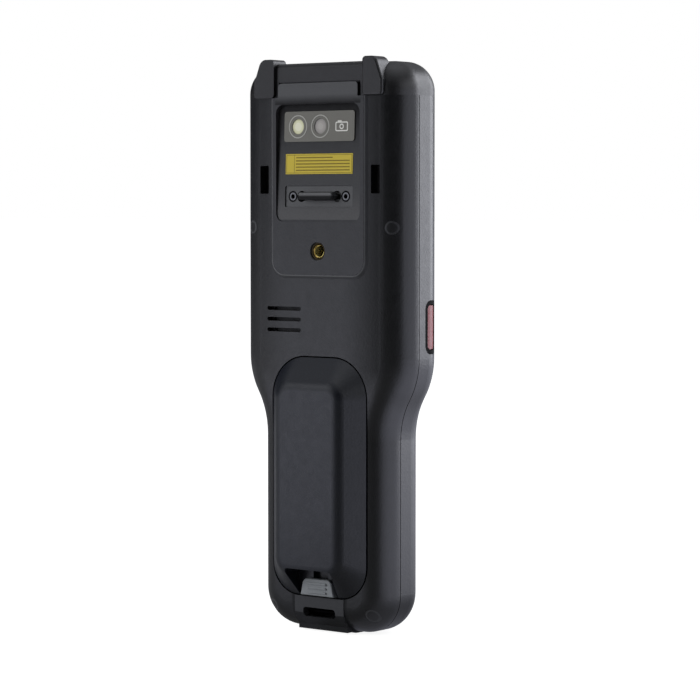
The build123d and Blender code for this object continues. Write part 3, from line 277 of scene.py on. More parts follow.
def rear_shell():
    """The rear housing's moulding, with duller scuffed patches, and painted shade and painted highlights that
    let the eye read its steps.
    """
    material = moulded_finish("Polycarbonate_ABS_spark_eroded_rear_shell", HOUSING, 0.55, 0.03, 0.33, 0.5,
                              crowned=True)
    tree, shader, place = open_up(material)
    window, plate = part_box("camera_window"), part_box("strap_anchor_plate")
    top, foot = window[1].z + POCKET_HEAD, plate[0].z - POCKET_TOE
    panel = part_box("rear_housing")[1].y
    x, y, z = add(tree, "SeparateXYZ", {0: place}).outputs
    side = add(tree, "Math", {0: x}, operation="ABSOLUTE")

    # the pocket's floor: a painted highlight, pale at its toe, fading to painted shade at its deep end, which
    # is also duller
    floor_half, floor_out = (window[1].x - window[0].x) / 2 + 4 * MM, panel - 0.2 * MM
    pocket = within(tree, (side, "LESS_THAN", floor_half), (z, "LESS_THAN", top), (z, "GREATER_THAN", foot),
                    (y, "LESS_THAN", floor_out))
    rise = add(tree, "MapRange", {"Value": z, "From Min": foot, "From Max": top})
    # painted light: pale at the toe, painted shade dark at the deep end
    stops = ((0.0, "#3b3b3c"), (0.3, "#222324"), (0.65, "#151617"), (1.0, "#060606"))
    paint(tree, shader, pocket, fill(add(tree, "ValToRGB", {0: rise}), stops, "EASE"))
    deep = add(tree, "MapRange", {"Value": rise, "From Min": 0.55, "From Max": 1.0})
    dull(tree, shader, add(tree, "Math", {0: deep, 1: pocket}, operation="MULTIPLY"), 0.42)

    # the sloping edge beside and below the raised panel: a painted highlight, palest at its crest
    slope_in, slope_out, slope_half = panel - 0.94 * MM, panel - 0.06 * MM, 24 * MM
    crest_in, crest_out, under_pocket = panel - 0.5 * MM, panel - 0.2 * MM, foot - 4 * MM
    edge = within(tree, (y, "GREATER_THAN", slope_in), (y, "LESS_THAN", slope_out),
                  (side, "LESS_THAN", slope_half))
    beside = within(tree, (side, "GREATER_THAN", POCKET_HALF))
    below = within(tree, (z, "LESS_THAN", under_pocket))
    outside = add(tree, "Math", {0: beside, 1: below}, operation="MAXIMUM")
    crest = add(tree, "MapRange", {"Value": y, "From Min": crest_in, "From Max": crest_out})
    # painted highlight colours along the panel's edge
    rub_and_painted_highlight = add(tree, "Mix", {"Factor": crest, 6: rgba("#3a3b3e"), 7: rgba("#747578")}, data_type="RGBA")
    paint(tree, shader, add(tree, "Math", {0: edge, 1: outside}, operation="MULTIPLY"), rub_and_painted_highlight.outputs[2])

    # the strip over the pocket: a painted highlight, fading to painted shade at the pocket's rim
    strip_half, strip_in, shade_low, shade_high = 19.4 * MM, panel - 0.1 * MM, top + 0.2 * MM, top + 3.4 * MM
    strip = within(tree, (side, "LESS_THAN", strip_half), (z, "GREATER_THAN", top),
                   (y, "GREATER_THAN", strip_in))
    shade = add(tree, "MapRange", {"Value": z, "From Min": shade_low, "From Max": shade_high,
                                   "To Min": 1.0, "To Max": 0.0})
    # painted highlight up the strip, painted shade next to the pocket's rim
    rim = add(tree, "Mix", {"Factor": shade, 6: rgba("#3b3c3e"), 7: rgba("#0a0a0b")}, data_type="RGBA")
    paint(tree, shader, strip, rim.outputs[2])
    dull(tree, shader, add(tree, "Math", {0: shade, 1: strip}, operation="MULTIPLY"), 0.4)

    # the dock boss: scuffed dull by its cradle
    boss_half, boss_top = 12.5 * MM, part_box("battery_latch")[0].z + 1 * MM
    dull(tree, shader, within(tree, (side, "LESS_THAN", boss_half), (z, "LESS_THAN", boss_top)), 0.34)
    return material


def ringed_plug():
    """Moulded rubber plug, with a painted highlight round its rim."""
    material = moulded_finish("Moulded_plug_rubber_black", "#18191b", 0.5, 0.03, 0.37, 0.5)
    tree, shader, place = open_up(material)
    low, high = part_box("screw_plugs")
    # from a plug's middle to the end of the node's box and to its rim, and from x = 0 to the lower two
    reach, rim, lower_side = 2.4 * MM, 1.75 * MM, 22.5 * MM
    x, _, z = add(tree, "SeparateXYZ", {0: place}).outputs
    side = add(tree, "Math", {0: x}, operation="ABSOLUTE")
    folded = add(tree, "CombineXYZ", {0: side, 2: z})
    upper = within(tree, (z, "GREATER_THAN", (low.z + high.z) / 2))
    middle = add(tree, "Mix", {0: upper, 4: (lower_side, 0, low.z + reach),
                               5: (high.x - reach, 0, high.z - reach)}, data_type="VECTOR")
    off = add(tree, "VectorMath", {0: folded, 1: middle.outputs[1]}, operation="DISTANCE")
    # painted highlight: paler outside the plug's middle, round its rim
    paint(tree, shader, within(tree, (off.outputs["Value"], "GREATER_THAN", rim)), "#3a3b3e")
    return material


def worn_bar():
    """Powder-coated steel bar: a painted highlight along its upper edge, and painted shade below it, which is
    also duller.
    """
    material = moulded_finish("Powder_coated_steel_bar_painted_light", "#4b4c4e", 0.4, 0.02, 0.42, 0.4)
    tree, shader, place = open_up(material)
    low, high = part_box("strap_bar")
    painted_shade_to, painted_highlight_from = low.lerp(high, 0.45).z, low.lerp(high, 0.7).z
    z = add(tree, "SeparateXYZ", {0: place}).outputs["Z"]
    # painted shade on the lower part, painted highlight on the upper edge
    under = add(tree, "MapRange", {"Value": z, "From Min": painted_shade_to, "From Max": painted_highlight_from, "To Min": 1.0,
                                   "To Max": 0.0})
    paint(tree, shader, under, "#121213", "#5a5b5d")
    dull(tree, shader, under, 0.4)
    return material


def cover_glass():
    """Hardened glass printed black behind its border: a deep gloss, and the switched-off display a
    little greyer inside the border."""
    black = "#08090b"
    material = smooth_finish("Hardened_cover_glass_black_back_print", black, 0.05, 0.5, 9.0, 0.5, 0.03)
    tree, shader, place = open_up(material)
    low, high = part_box("display_module")
    edge = 0.6 * MM
    x, _, z = add(tree, "SeparateXYZ", {0: place}).outputs
    inside = within(tree, (x, "GREATER_THAN", low.x + edge), (x, "LESS_THAN", high.x - edge),
                    (z, "GREATER_THAN", low.z + edge), (z, "LESS_THAN", high.z - edge))
    paint(tree, shader, inside, "#15181d", black)
    return material


def perforated_steel():
    """Etched stainless mesh: rows of round holes, painted black as the shade inside them."""
    steel, pitch, hole_radius = "#7d7e80", 0.5 * MM, 0.15 * MM
    material = metal_finish("Stainless_steel_etched_mesh", steel, 0.35)
    tree, shader, place = open_up(material)
    grid = add(tree, "VectorMath", {0: place, 1: (pitch, 1, pitch)}, operation="MODULO")
    even = add(tree, "VectorMath", {0: grid}, operation="ABSOLUTE")
    hole = within(tree, (radius_from(tree, even, (pitch / 2, 0, pitch / 2)), "LESS_THAN", hole_radius))
    paint(tree, shader, hole, "#050505", steel)
    feed(tree, shader, {"Metallic": add(tree, "Math", {0: 1.0, 1: hole}, operation="SUBTRACT")})
    return material


def blackened_brass():
    """Turned brass insert: bright where the tap has cut it, with painted shade on its face and flange."""
    brass = "#c9aa5c"
    material = metal_finish("Turned_brass_insert_painted_shade_face", brass, 0.24, 0.3)
    tree, shader, place = open_up(material)
    low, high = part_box("grip_insert")
    radius = radius_from(tree, place, (low + high) / 2)
    # the bore's own brass, then painted shade on the face and flange
    bands = ((0.0, brass), (2.3, "#3a3222"), (2.9, "#1b1916"))
    feed(tree, shader, {"Base Color": banded(tree, radius, bands)})
    return material


def socket_screw():
    """Black-oxide socket screw: painted shade in its socket, a painted highlight ring round it and painted
    shade at its rim.
    """
    material = metal_finish("Black_oxide_socket_screw", "#3c3c3e", 0.38, 0.2)
    tree, shader, place = open_up(material)
    low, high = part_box("anchor_screws")
    middle, head_radius = (low + high) / 2, (high.z - low.z) / 2
    x, y, z = add(tree, "SeparateXYZ", {0: place}).outputs
    side = add(tree, "Math", {0: x}, operation="ABSOLUTE")
    folded = add(tree, "CombineXYZ", {0: side, 1: y, 2: z})
    radius = radius_from(tree, folded, (high.x - head_radius, middle.y, middle.z))
    # painted shade in the socket, a painted highlight ring, painted shade at the rim
    bands = ((0.0, "#060606"), (0.85, "#77787a"), (1.4, "#151516"), (2.0, "#202021"))
    feed(tree, shader, {"Base Color": banded(tree, radius, bands)})
    return material


def lens_finish(name, bands, node):
    """Clear cover over a round optic: rings of the optic's own tones under a gloss."""
    material = smooth_finish(name, bands[0][1], 0.1, 0.5)
    tree, shader, place = open_up(material)
    low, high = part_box(node)
    radius = radius_from(tree, place, (low + high) / 2)
    feed(tree, shader, {"Base Color": banded(tree, radius, bands)})
    return material


def ink(name, colour):
    """Pad-printed ink: flat, even colour with slightly starved patches."""
    return smooth_finish(name, colour, 0.45, 0.3, 1.5)


# what makes each finish, its name and the values that its maker takes
FINISHES = {
    # the record's slots
    "housing": (moulded_finish, "Polycarbonate_ABS_spark_eroded_black", HOUSING, 0.55, 0.03, 0.33, 0.5, 0.10,
                True),
    "bumper": (moulded_finish, "Overmoulded_elastomer_matt_black", "#121213", 0.5, 0.03, 0.38, 0.5),
    "pack": (moulded_finish, "Polycarbonate_battery_cover_black", "#12151c", 0.55, 0.03, 0.34, 0.5),
    "latch": (moulded_finish, "Acetal_latch_satin_grey", "#878b8f", 0.4, 0.015, 0.4, 0.4, 0.06),
    "gold_contact": (metal_finish, "Gold_plated_contact", "#e8c27a", 0.22, 0.15),
    "black_nylon": (moulded_finish, "Glass_filled_nylon_black", "#2b2b2d", 0.35, 0.03, 0.55, 0.3),
    "scan_glass": (smooth_finish, "Dyed_acrylic_scan_window", "#33070b", 0.07, 0.35),
    "engine_black": (moulded_finish, "Moulded_module_black", "#222224", 0.3, 0.02, 0.5, 0.3),
    "steel": (metal_finish, "Stainless_steel_machined", "#b9babb", 0.3),
    "light_pipe": (smooth_finish, "Clear_polycarbonate_light_pipe", "#c5cbc6", 0.1, 0.5),
    "seal_rubber": (moulded_finish, "Silicone_seal_black", "#0b0b0c", 0.5, 0.03, 0.7, 0.06, 0.16),
    "plug_rubber": (ringed_plug,),
    "lens_glass": (cover_glass,),
    "display_black": (smooth_finish, "Display_panel_switched_off", "#101216", 0.1, 0.5),
    "chassis_metal": (metal_finish, "Magnesium_die_cast_chassis", "#a8a8aa", 0.45, 0.6),
    "board": (smooth_finish, "Circuit_board_solder_resist", "#0f5a3a", 0.3, 0.5),
    "key_rubber": (moulded_finish, "Silicone_key_mat_grey", "#9fa0a1", 0.5, 0.03, 0.7, 0.2, 0.16),
    "key_grey": (moulded_finish, "Keycap_plastic_grey", "#5a5c5f", 0.35, 0.012, 0.42, 0.4, 0.06),
    "scan_key": (moulded_finish, "Keycap_plastic_amber", "#cf5a26", 0.35, 0.01, 0.38, 0.4, 0.04),
    "trigger_red": (smooth_finish, "Trigger_polycarbonate_red", "#962228", 0.38, 0.4),
    "window_grey": (smooth_finish, "Back_printed_acrylic_window_grey", "#66655f", 0.14, 0.4, 6.0, 0.3),
    "optic_glass": (lens_finish, "Camera_cover_glass",
                    ((0.0, "#aaa7a4"), (1.2, "#9e9a98"), (2.0, "#8f8c8a"), (2.7, "#787675")), "camera_lens"),
    "flash_lens": (lens_finish, "Flash_lens_phosphor",
                   ((0.0, "#e9e9d2"), (1.5, "#dcdcbc"), (2.2, "#c9c9a6"), (2.8, "#a5a58c")), "flash_lens"),
    "led_white": (smooth_finish, "Light_emitter_white", "#e6e6da", 0.3, 0.5),
    "label_yellow": (smooth_finish, "Polyester_label_yellow", "#c8b442", 0.35, 0.35),
    "anchor_plate": (moulded_finish, "Powder_coated_steel_plate_black", "#4b4c4e", 0.4, 0.02, 0.42, 0.4),
    "black_screw": (socket_screw,),
    "brass": (blackened_brass,),
    # prints, and pieces that differ from the rest of their slot
    "white_ink": (ink, "Pad_print_ink_white", "#dcdcd8"),
    "ring_ink": (ink, "Pad_print_ink_pale_grey", "#a6a6a2"),
    "label_ink": (ink, "Label_print_ink_dark", "#7f6f2c"),
    "green_ink": (ink, "Pad_print_ink_green", "#3f9a5a"),
    "red_ink": (ink, "Pad_print_ink_red", "#b8392f"),
    "dark_ink": (ink, "Pad_print_ink_black", "#151515"),
    "mesh": (perforated_steel,),
    "worn_bar": (worn_bar,),
    "rear_shell": (rear_shell,),
    "thread_brass": (metal_finish, "Cut_brass_thread", "#dccb7c", 0.2, 0.3),
    "blued_pin": (metal_finish, "Blued_steel_pin", "#111112", 0.55, 0.2),
}
OWN_FINISH = {"earpiece_mesh": "mesh", "wrist_strap_pin": "blued_pin", "rear_housing": "rear_shell",
              "strap_bar": "worn_bar"}
SLOT_OF = {part["node"]: part["material_slot"] for part in frame["record"]["subparts"]}
MADE = {}


def finish(name):
    """The material of one of the record's slots or of a print, made once."""
    if name not in MADE:
        make, *values = FINISHES[name]
        MADE[name] = make(*values)
    return MADE[name]


def dress(node):
    """Gives a carried-over node its finish."""
    mesh = frame["nodes"][node].data
    mesh.materials.clear()
    mesh.materials.append(finish(OWN_FINISH.get(node, SLOT_OF[node])))


# ---------------------------------------------------------------- modelling

def start():
    """Back to object mode with nothing selected, so that an operator acts on its own piece only."""
    if bpy.context.object and bpy.context.object.mode != "OBJECT":
        bpy.ops.object.mode_set(mode="OBJECT")
    bpy.ops.object.select_all(action="DESELECT")


def edit():
    """Edit mode with the whole mesh selected."""
    bpy.ops.object.mode_set(mode="EDIT")
    bpy.ops.mesh.select_all(action="SELECT")


def outline(width):
    """Leaves only an outline of the selected face."""
    bpy.ops.mesh.inset(thickness=width)
    bpy.ops.mesh.delete(type="FACE")


def thicken(piece, thick):
    """Closes the editing of a flat piece and gives it its thickness, upwards from where it lies."""
    bpy.ops.object.mode_set(mode="OBJECT")
    shell = piece.modifiers.new("thickness", "SOLIDIFY")
    shell.thickness, shell.offset = thick, 1
    bpy.ops.object.modifier_apply(modifier=shell.name)
    return piece


def move(piece, u, v, lift=0.0):
    """Moves a piece's mesh in its own flat frame."""
    piece.data.transform(Matrix.Translation((u, v, lift)))
    return piece


def ring(inner, outer, thick, steps=64):
    """A flat ring round the origin; with no inner radius, a disc."""
    start()
    bpy.ops.mesh.primitive_circle_add(vertices=steps, radius=outer, fill_type="NGON")
    piece = bpy.context.object
    edit()
    if inner:
        outline(outer - inner)
    return thicken(piece, thick)


def slab(wide, tall, thick, corner=0.0, line=0.0):
    """A flat rectangle with round corners; with a line width, only its outline."""
    start()
    bpy.ops.mesh.primitive_plane_add(size=1)
    piece = bpy.context.object
    piece.data.transform(Matrix.Diagonal((wide, tall, 1, 1)))
    edit()
    if corner:
        bpy.ops.mesh.bevel(offset=corner, segments=6, affect="VERTICES")
    if line:
        bpy.ops.mesh.select_all(action="SELECT")
        outline(line)
    return thicken(piece, thick)


def arrow(reach, thick):
    """A flat triangle with softened corners that points along -X."""
    start()
    bpy.ops.mesh.primitive_circle_add(vertices=3, radius=reach, fill_type="NGON")
    piece = bpy.context.object
    piece.data.transform(Matrix.Rotation(math.pi / 2, 4, "Z"))
    edit()
    bpy.ops.mesh.bevel(offset=reach * 0.12, segments=3, affect="VERTICES")
    return thicken(piece, thick)


def numeral(sign, size, thick):
    """A printed numeral or sign round the origin."""
    start()
    bpy.ops.object.text_add()
    piece = bpy.context.object
    piece.data.body = sign
    piece.data.size = size
    piece.data.align_x, piece.data.align_y = "CENTER", "CENTER"
    piece.data.extrude = thick / 2
    piece.data.resolution_u = 4
    bpy.ops.object.convert(target="MESH")
    edit()
    bpy.ops.mesh.remove_doubles(threshold=0.001 * MM)
    bpy.ops.object.mode_set(mode="OBJECT")
    corners = [v.co for v in piece.data.vertices]
    u, v = ((min(c[axis] for c in corners) + max(c[axis] for c in corners)) / 2 for axis in (0, 1))
    return move(piece, -u, -v, thick / 2)


def joined(pieces):
    """One piece out of several."""
    start()
    for piece in pieces:
        piece.select_set(True)
    bpy.context.view_layer.objects.active = pieces[0]
    if len(pieces) > 1:
        bpy.ops.object.join()
    return bpy.context.object


def settle(piece, name, place, finish_name, carrier):
    """Puts a piece on the terminal: its place goes into its mesh, it rides where its carrier does, and
    it takes the finish that it is given."""
    start()
    piece.select_set(True)
    bpy.context.view_layer.objects.active = piece
    piece.matrix_world = place
    bpy.ops.object.transform_apply(location=True, rotation=True, scale=True)
    piece.name = piece.data.name = name
    piece.data.materials.clear()
    piece.data.materials.append(finish(finish_name))
    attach(piece, frame["nodes"][carrier]["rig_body"])
    return piece


RAMP_RISE, RAMP_LENGTH = 1.35, 41.8             # millimetres that the pocket's floor climbs, and its length
RAMP = math.atan(RAMP_RISE / RAMP_LENGTH)
PLATE_GAP = 0.004 * MM                          # a print on a plate starts this far over it
KEY_PROUD = 0.005 * MM                          # and one on a key is sunk until this much of it shows


def on_ramp(node, lift):
    """Frame on the outer face of a plate in the ramp: origin at the middle of its lower edge, X towards
    the terminal's -X side, Y up the ramp and Z out of it."""
    low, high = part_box(node)
    c, s = math.cos(RAMP), math.sin(RAMP)
    return Matrix(((-1, 0, 0, (low.x + high.x) / 2), (0, -s, c, high.y + lift),
                   (0, c, s, low.z), (0, 0, 0, 1)))


def on_back(node, lift=0.0):
    """Frame on the outermost face of a node of the back, origin at the middle of its box."""
    low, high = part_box(node)
    return Matrix(((-1, 0, 0, (low.x + high.x) / 2), (0, 0, 1, high.y + lift),
                   (0, 1, 0, (low.z + high.z) / 2), (0, 0, 0, 1)))


def on_front(node, lift):
    """Frame on the foremost face of a node of the front, origin at the middle of its box."""
    low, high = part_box(node)
    return Matrix(((1, 0, 0, (low.x + high.x) / 2), (0, 0, -1, low.y - lift),
                   (0, 1, 0, (low.z + high.z) / 2), (0, 0, 0, 1)))


# ---------------------------------------------------------------- properties

class TerminalColours(bpy.types.PropertyGroup):
    floor_white: bpy.props.FloatProperty(
        name="Floor white", description="How white the floor near the terminal is to the eye", default=0.9,
        min=0, max=1, subtype="FACTOR")


class TerminalPrints(bpy.types.PropertyGroup):
    film: bpy.props.FloatProperty(
        name="Ink thickness", description="How thick the ink of a print is", default=0.02 * MM,
        unit="LENGTH", subtype="DISTANCE")
    ring_radius: bpy.props.FloatProperty(
        name="Optics ring", description="Outer radius of the rings printed round camera and flash",
        default=4.15 * MM, unit="LENGTH", subtype="DISTANCE")
    numeral_size: bpy.props.FloatProperty(
        name="Numeral size", description="Type size of the numerals on the keys", default=5.2 * MM,
        unit="LENGTH", subtype="DISTANCE")
    thread_pitch: bpy.props.FloatProperty(
        name="Thread pitch", description="Pitch of the thread in the grip insert", default=0.8 * MM,
        unit="LENGTH", subtype="DISTANCE")


class TerminalStudio(bpy.types.PropertyGroup):
    azimuth: bpy.props.FloatProperty(
        name="Camera azimuth", description="Round the terminal, 0 looks at its front",
        default=math.radians(218), unit="ROTATION", subtype="ANGLE")
    elevation: bpy.props.FloatProperty(
        name="Camera elevation", description="Height of the camera over the horizon",
        default=math.radians(3.07), unit="ROTATION", subtype="ANGLE")
    distance: bpy.props.FloatProperty(
        name="Camera distance", description="From the camera to the middle of the terminal",
        default=0.973, unit="LENGTH", subtype="DISTANCE")
    ambient: bpy.props.FloatProperty(
        name="Ambient light", description="Strength of the light that comes evenly from all sides",
        default=0.12, min=0, max=1, subtype="FACTOR")
    lens: bpy.props.FloatProperty(
        name="Focal length", description="Lens of the camera, in millimetres", default=138.857,
        subtype="DISTANCE_CAMERA")


# ---------------------------------------------------------------- operators

class TERMINAL_OT_finishes(bpy.types.Operator):
    """Give every carried-over part its finish"""
    bl_idname = "terminal.finishes"
    bl_label = "Finishes"

    def execute(self, context):
        for node in frame["nodes"]:
            dress(node)
        return {"FINISHED"}


class TERMINAL_OT_camera_print(bpy.types.Operator):
    """Print the rings round camera and flash and the camera sign on their window"""
    bl_idname = "terminal.camera_print"
    bl_label = "Camera window print"

    def execute(self, context):
        prints = context.scene.terminal_prints
        film, outer = prints.film, prints.ring_radius
        inner = outer - 0.38 * MM
        low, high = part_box("camera_window")
        middle = (high.z - low.z) / 2
        rings = []
        for node in ("camera_lens", "flash_lens"):
            near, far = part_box(node)
            rings.append(move(ring(inner, outer, film), -(near.x + far.x) / 2, middle))
        place = on_ramp("camera_window", PLATE_GAP)
        settle(joined(rings), "camera_window_rings", place, "ring_ink", "camera_window")
        # the sign is a camera's body, its lens and its release
        u, v = 10.2 * MM, middle - 0.2 * MM
        sign = [move(slab(5.6 * MM, 3.4 * MM, film, 0.6 * MM, 0.42 * MM), u, v),
                move(ring(0.55 * MM, 1.0 * MM, film, 32), u, v),
                move(slab(1.8 * MM, 0.5 * MM, film, 0.15 * MM), u - 0.9 * MM, v + 1.9 * MM)]
        settle(joined(sign), "camera_window_sign", place, "white_ink", "camera_window")
        return {"FINISHED"}


class TERMINAL_OT_label_print(bpy.types.Operator):
    """Rule the bare label: a frame, a field at its end and plain lines"""
    bl_idname = "terminal.label_print"
    bl_label = "Label print"

    def execute(self, context):
        film = context.scene.terminal_prints.film
        low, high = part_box("label_plate")
        wide, tall = high.x - low.x, high.z - low.z
        hair, rule, pitch, rows = 0.16 * MM, 0.42 * MM, 1.12 * MM, 5
        inset, inner_inset = 0.7 * MM, 0.9 * MM     # taken off the label's size by the frame and in it
        field_end, rule_start = 4.0 * MM - wide / 2, 4.7 * MM - wide / 2
        heading, full = wide * 0.55, wide - 6.0 * MM
        middle = tall / 2
        lines = [move(slab(wide - inset, tall - inset, film, 0.2 * MM, hair), 0, middle),
                 move(slab(hair, tall - inner_inset, film), field_end, middle)]
        for row in range(rows):
            long = full if row else heading
            v = middle + (rows - 1 - 2 * row) / 2 * pitch
            lines.append(move(slab(long, rule, film, 0.1 * MM), rule_start + long / 2, v))
        settle(joined(lines), "label_rules", on_ramp("label_plate", PLATE_GAP), "label_ink", "label_plate")
        return {"FINISHED"}


class TERMINAL_OT_latch_ribs(bpy.types.Operator):
    """Mould the thumb ribs on the battery latch"""
    bl_idname = "terminal.latch_ribs"
    bl_label = "Latch ribs"

    def execute(self, context):
        count, long, wide, rise, pitch = 3, 8.8 * MM, 0.75 * MM, 0.5 * MM, 1.55 * MM
        corner, soft_edge, lowest, sunk = 0.37 * MM, 0.16 * MM, -1.1 * pitch, 0.05 * MM
        ribs = []
        for step in range(count):
            rib = slab(long, wide, rise, corner)
            edit()
            bpy.ops.mesh.bevel(offset=soft_edge, segments=3, affect="EDGES")
            bpy.ops.object.mode_set(mode="OBJECT")
            ribs.append(move(rib, 0, lowest + step * pitch))
        settle(joined(ribs), "latch_ribs", on_back("battery_latch", -sunk), "latch", "battery_latch")
        return {"FINISHED"}


class TERMINAL_OT_insert_thread(bpy.types.Operator):
    """Cut the thread in the grip's brass insert"""
    bl_idname = "terminal.insert_thread"
    bl_label = "Insert thread"

    def execute(self, context):
        bore, ridge_radius, first_turn = 2.1 * MM, 0.36 * MM, 0.5 * MM
        start()
        bpy.ops.mesh.primitive_circle_add(vertices=3, radius=ridge_radius, location=(bore, 0, 0),
                                          rotation=(math.pi / 2, 0, 0), fill_type="NOTHING")
        ridge = bpy.context.object
        bpy.ops.object.transform_apply(location=True, rotation=True, scale=True)
        turns = ridge.modifiers.new("turns", "SCREW")
        turns.axis, turns.screw_offset = "Z", context.scene.terminal_prints.thread_pitch
        turns.iterations, turns.steps, turns.render_steps = 6, 36, 36
        turns.use_merge_vertices = False
        bpy.ops.object.modifier_apply(modifier=turns.name)
        bpy.ops.object.mode_set(mode="EDIT")
        bpy.ops.mesh.select_all(action="DESELECT")
        bpy.ops.mesh.select_non_manifold()
        bpy.ops.mesh.fill()
        bpy.ops.mesh.select_all(action="SELECT")
        bpy.ops.mesh.normals_make_consistent(inside=False)
        bpy.ops.object.mode_set(mode="OBJECT")
        low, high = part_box("grip_insert")
        inwards = Matrix.Translation((0, 0, low.y - high.y + first_turn))
        settle(ridge, "insert_thread", on_back("grip_insert") @ inwards, "thread_brass", "grip_insert")
        return {"FINISHED"}


class TERMINAL_OT_key_prints(bpy.types.Operator):
    """Print the numerals and plain signs on the keys"""
    bl_idname = "terminal.key_prints"
    bl_label = "Key prints"

    def execute(self, context):
        prints = context.scene.terminal_prints
        film, size = prints.film, prints.numeral_size
        bars = ((-3.0, 0.7), (-1.9, 0.35), (-0.9, 0.9), (0.35, 0.35), (1.3, 0.6), (2.2, 0.3), (3.0, 0.7))
        signs = {"key_%d" % n: [numeral(str(n), size, film)] for n in range(10)}
        signs["key_star"] = [numeral("*", size, film)]
        signs["key_hash"] = [numeral("#", size * 0.85, film)]
        signs["key_power"] = [ring(1.15 * MM, 1.5 * MM, film, 40),
                              move(slab(0.36 * MM, 1.7 * MM, film, 0.1 * MM), 0, 1.2 * MM)]
        signs["key_light"] = [ring(0, 0.75 * MM, film, 32), ring(1.2 * MM, 1.45 * MM, film, 40)]
        signs["key_enter"] = [move(arrow(1.2 * MM, film), -1.2 * MM, -0.5 * MM),
                              move(slab(2.6 * MM, 0.4 * MM, film), 0.6 * MM, -0.5 * MM),
                              move(slab(0.4 * MM, 2.0 * MM, film), 1.75 * MM, 0.3 * MM)]
        signs["key_back"] = [arrow(1.6 * MM, film)]
        signs["key_home"] = [slab(2.6 * MM, 2.6 * MM, film, 0.4 * MM, 0.4 * MM)]
        signs["key_menu"] = [move(slab(3.2 * MM, 0.42 * MM, film, 0.15 * MM), 0, (n - 1) * 1.1 * MM)
                             for n in range(3)]
        signs["key_scan"] = [move(slab(wide * MM, 4.2 * MM, film), at * MM, 0) for at, wide in bars]
        for key in ("key_call", "key_end"):
            signs[key] = [slab(4.4 * MM, 1.5 * MM, film, 0.7 * MM)]
        inks = {"key_call": "green_ink", "key_end": "red_ink", "key_scan": "dark_ink"}
        for key, shapes in signs.items():
            settle(joined(shapes), key + "_print", on_front(key, KEY_PROUD - film),
                   inks.get(key, "white_ink"), key)
        return {"FINISHED"}


def aim(thing, place, target):
    """Puts a lamp or a camera at a place, looking at a target."""
    thing.location = place
    thing.rotation_mode = "QUATERNION"
    thing.rotation_quaternion = (Vector(target) - Vector(place)).to_track_quat("-Z", "Y")


def lamp(name, target, turn, rise, distance, wide, tall, watts):
    """A soft box. Turn is measured from behind the terminal towards its -X side, in degrees."""
    data = bpy.data.lights.new(name, "AREA")
    data.shape = "RECTANGLE"
    data.size, data.size_y, data.energy = wide, tall, watts
    box = bpy.data.objects.new(name, data)
    bpy.context.scene.collection.objects.link(box)
    a, e = math.radians(turn), math.radians(rise)
    out = Vector((-math.sin(a) * math.cos(e), math.cos(a) * math.cos(e), math.sin(e)))
    aim(box, target + out * distance, target)
    return box


# how light the room's walls are: degrees from the terminal's back towards its -X side, and the level
ROOM = ((-180, 0.4), (-140, 0.08), (-90, 0.04), (-66, 0.10), (-50, 0.62), (-38, 1.0), (-22, 0.45),
        (-6, 0.02), (26, 0.0), (44, 0.10), (58, 0.70), (84, 1.0), (180, 0.7))
WALL_GLOSS = 0.93               # how strong the walls are in the gloss
WHITE = "#ffffff"               # what stands behind the terminal
DAYLIGHT = "#f6f8ff"            # what its gloss takes from the walls, and its right side from the rim box
FLOOR_GLOW = "#e9ebff"          # what its gloss takes from the floor


def room_light(tree, toward):
    """How light the room is to a mirror. Near the horizon it goes by the direction round the terminal: a
    soft box, a dark doorway and a white wall. Higher up it is a dim ceiling with a light well overhead."""
    x, y, z = add(tree, "SeparateXYZ", {0: toward}).outputs
    west = add(tree, "Math", {0: x, 1: -1.0}, operation="MULTIPLY")
    turn = add(tree, "Math", {0: west, 1: y}, operation="ARCTAN2")
    share = add(tree, "MapRange", {"Value": turn, "From Min": -math.pi, "From Max": math.pi})
    stops = [((angle + 180) / 360, level) for angle, level in ROOM]
    round_about = fill(add(tree, "ValToRGB", {0: share}), stops, "EASE")
    boost = add(tree, "MapRange", {"Value": z, "From Min": 0.2, "From Max": 0.38, "To Min": 1.0,
                                   "To Max": 1.8})
    wall = add(tree, "Math", {0: round_about, 1: boost}, operation="MULTIPLY")
    well = add(tree, "MapRange", {"Value": z, "From Min": 0.8, "From Max": 1.0, "To Min": 0.42,
                                  "To Max": 1.3})
    up = add(tree, "MapRange", {"Value": z, "From Min": 0.45, "From Max": 0.65})
    return add(tree, "Mix", {0: up, 2: wall, 3: well}, data_type="FLOAT")


